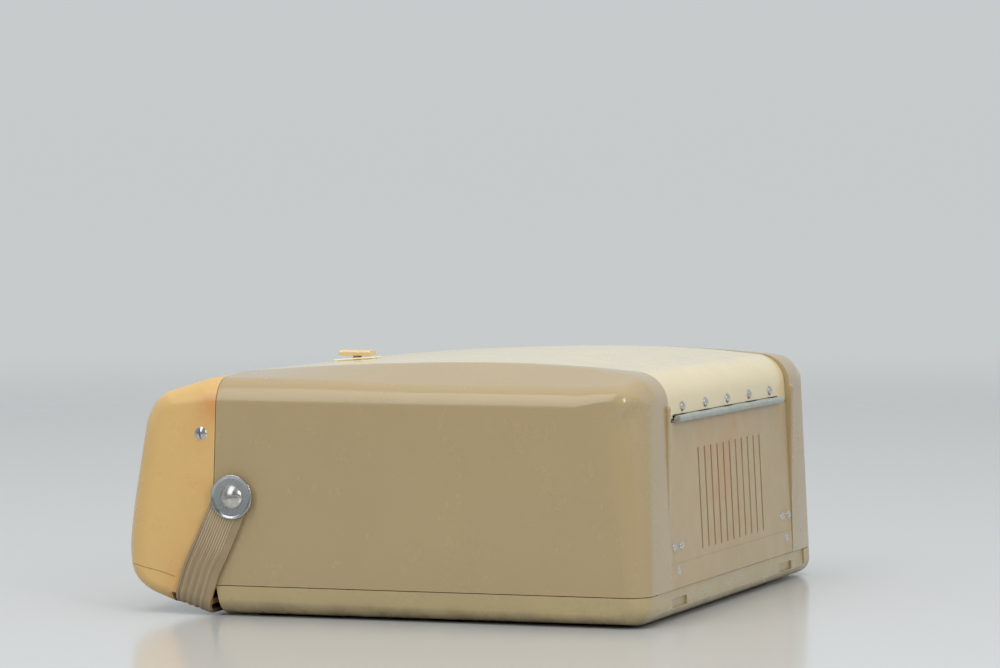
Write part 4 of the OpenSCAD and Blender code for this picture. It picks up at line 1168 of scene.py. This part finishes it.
bm = bmesh.new()
bmesh.ops.create_circle(bm, cap_ends=True, segments=128, radius=4200)
floor = new_object("floor", bm)
floor_shader = Shader("pale_floor", IOR=1.45, Roughness=0.16)
tree = floor_shader.tree
floor_tint = floor_shader.mix(scaled(FLOOR_PALE, 0.98), FLOOR_PALE, floor_shader.noise(2, 2, 0.5))
floor_shader.link(floor_tint, "Base Color")
away = floor_shader.node("VectorMath", {0: floor_shader.place}, operation="LENGTH").outputs["Value"]
fade = floor_shader.span(away, 1.7, 3.6)
clear = floor_shader.node("BsdfTransparent").outputs[0]
blend = floor_shader.node("MixShader", {0: fade, 1: floor_shader.out.outputs[0], 2: clear})
tree.links.new(blend.outputs[0], tree.nodes["Material Output"].inputs["Surface"])
floor.data.materials.append(floor_shader.mat)
floor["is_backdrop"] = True

world = bpy.data.worlds.new("studio")
bpy.context.scene.world = world
world.use_nodes = True
nodes, links = world.node_tree.nodes, world.node_tree.links
sky = nodes["Background"]
coord = nodes.new("ShaderNodeTexCoord")
split = nodes.new("ShaderNodeSeparateXYZ")
ramp = nodes.new("ShaderNodeValToRGB")
shift = nodes.new("ShaderNodeMapRange")
links.new(coord.outputs["Generated"], split.inputs[0])
links.new(split.outputs["Z"], shift.inputs["Value"])
shift.inputs["From Min"].default_value, shift.inputs["From Max"].default_value = -0.1, 0.2
links.new(shift.outputs[0], ramp.inputs[0])
ramp.color_ramp.interpolation = "EASE"
stops = ramp.color_ramp.elements
stops[0].position, stops[0].color = 0.0, srgb(200, 204, 204)
stops[1].position, stops[1].color = 1.0, srgb(204, 208, 210)
middle = stops.new(0.35)
middle.color = srgb(198, 202, 203)
sky.inputs["Strength"].default_value = 1.0
# The room on the near side is darker than the pale wall behind the object
near = nodes.new("ShaderNodeMapRange")
near.interpolation_type = "SMOOTHSTEP"
for key, value in (("From Min", -0.1), ("From Max", 0.7), ("To Min", 1.0), ("To Max", 0.35)):
    near.inputs[key].default_value = value
links.new(split.outputs["X"], near.inputs["Value"])
shade = nodes.new("ShaderNodeVectorMath")
shade.operation = "SCALE"
links.new(ramp.outputs[0], shade.inputs[0])
links.new(near.outputs[0], shade.inputs["Scale"])
links.new(shade.outputs[0], sky.inputs["Color"])


def softbox(name, at, aim, size, power):
    """A rectangular studio light, in metres and watts."""
    light = bpy.data.lights.new(name, "AREA")
    light.shape, light.size, light.size_y = "RECTANGLE", size[0], size[1]
    light.energy = power
    obj = bpy.data.objects.new(name, light)
    bpy.context.scene.collection.objects.link(obj)
    obj.location = at
    obj.rotation_euler = (Vector(aim) - Vector(at)).to_track_quat("-Z", "Y").to_euler()
    return obj


overhead = softbox("overhead", (0.4, 0.2, 2.3), (0, 0, 0.1), (2.2, 2.6), 40)
softbox("side_window", (2.1, -0.9, 2.0), (0, 0, 0.1), (1.5, 2.8), 27)
side_fill = softbox("side_fill", (2.6, 1.0, 0.9), (0, 0, 0.08), (2.0, 0.9), 8)
softbox("corner_lamp", (1.55, 1.65, 1.15), (0.15, 0.13, 0.1), (0.34, 0.9), 12)
rear_fill = softbox("rear_fill", (0.6, 2.9, 1.0), (0, 0.1, 0.08), (2.0, 1.4), 8)
for light in (overhead, side_fill, rear_fill):
    light.visible_glossy = False

CAMERA_AT, AZIMUTH, PITCH, ROLL = Vector((2.2635, 0.79945, 0.2370)), 109.229, 2.054, -0.11
a, e = math.radians(AZIMUTH), math.radians(PITCH)
back = Vector((math.sin(a) * math.cos(e), -math.cos(a) * math.cos(e), math.sin(e)))
camera = bpy.data.objects.new("camera", bpy.data.cameras.new("camera"))
bpy.context.scene.collection.objects.link(camera)
camera.location = CAMERA_AT
camera.rotation_mode = "QUATERNION"
camera.rotation_quaternion = ((-back).to_track_quat("-Z", "Y")
                              @ Euler((0, 0, math.radians(ROLL))).to_quaternion())
camera.data.lens, camera.data.sensor_width = 147.93, 36
camera.data.clip_start, camera.data.clip_end = 0.1, 40
bpy.context.scene.camera = camera
bpy.context.scene.view_settings.view_transform = "Standard"

low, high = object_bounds()
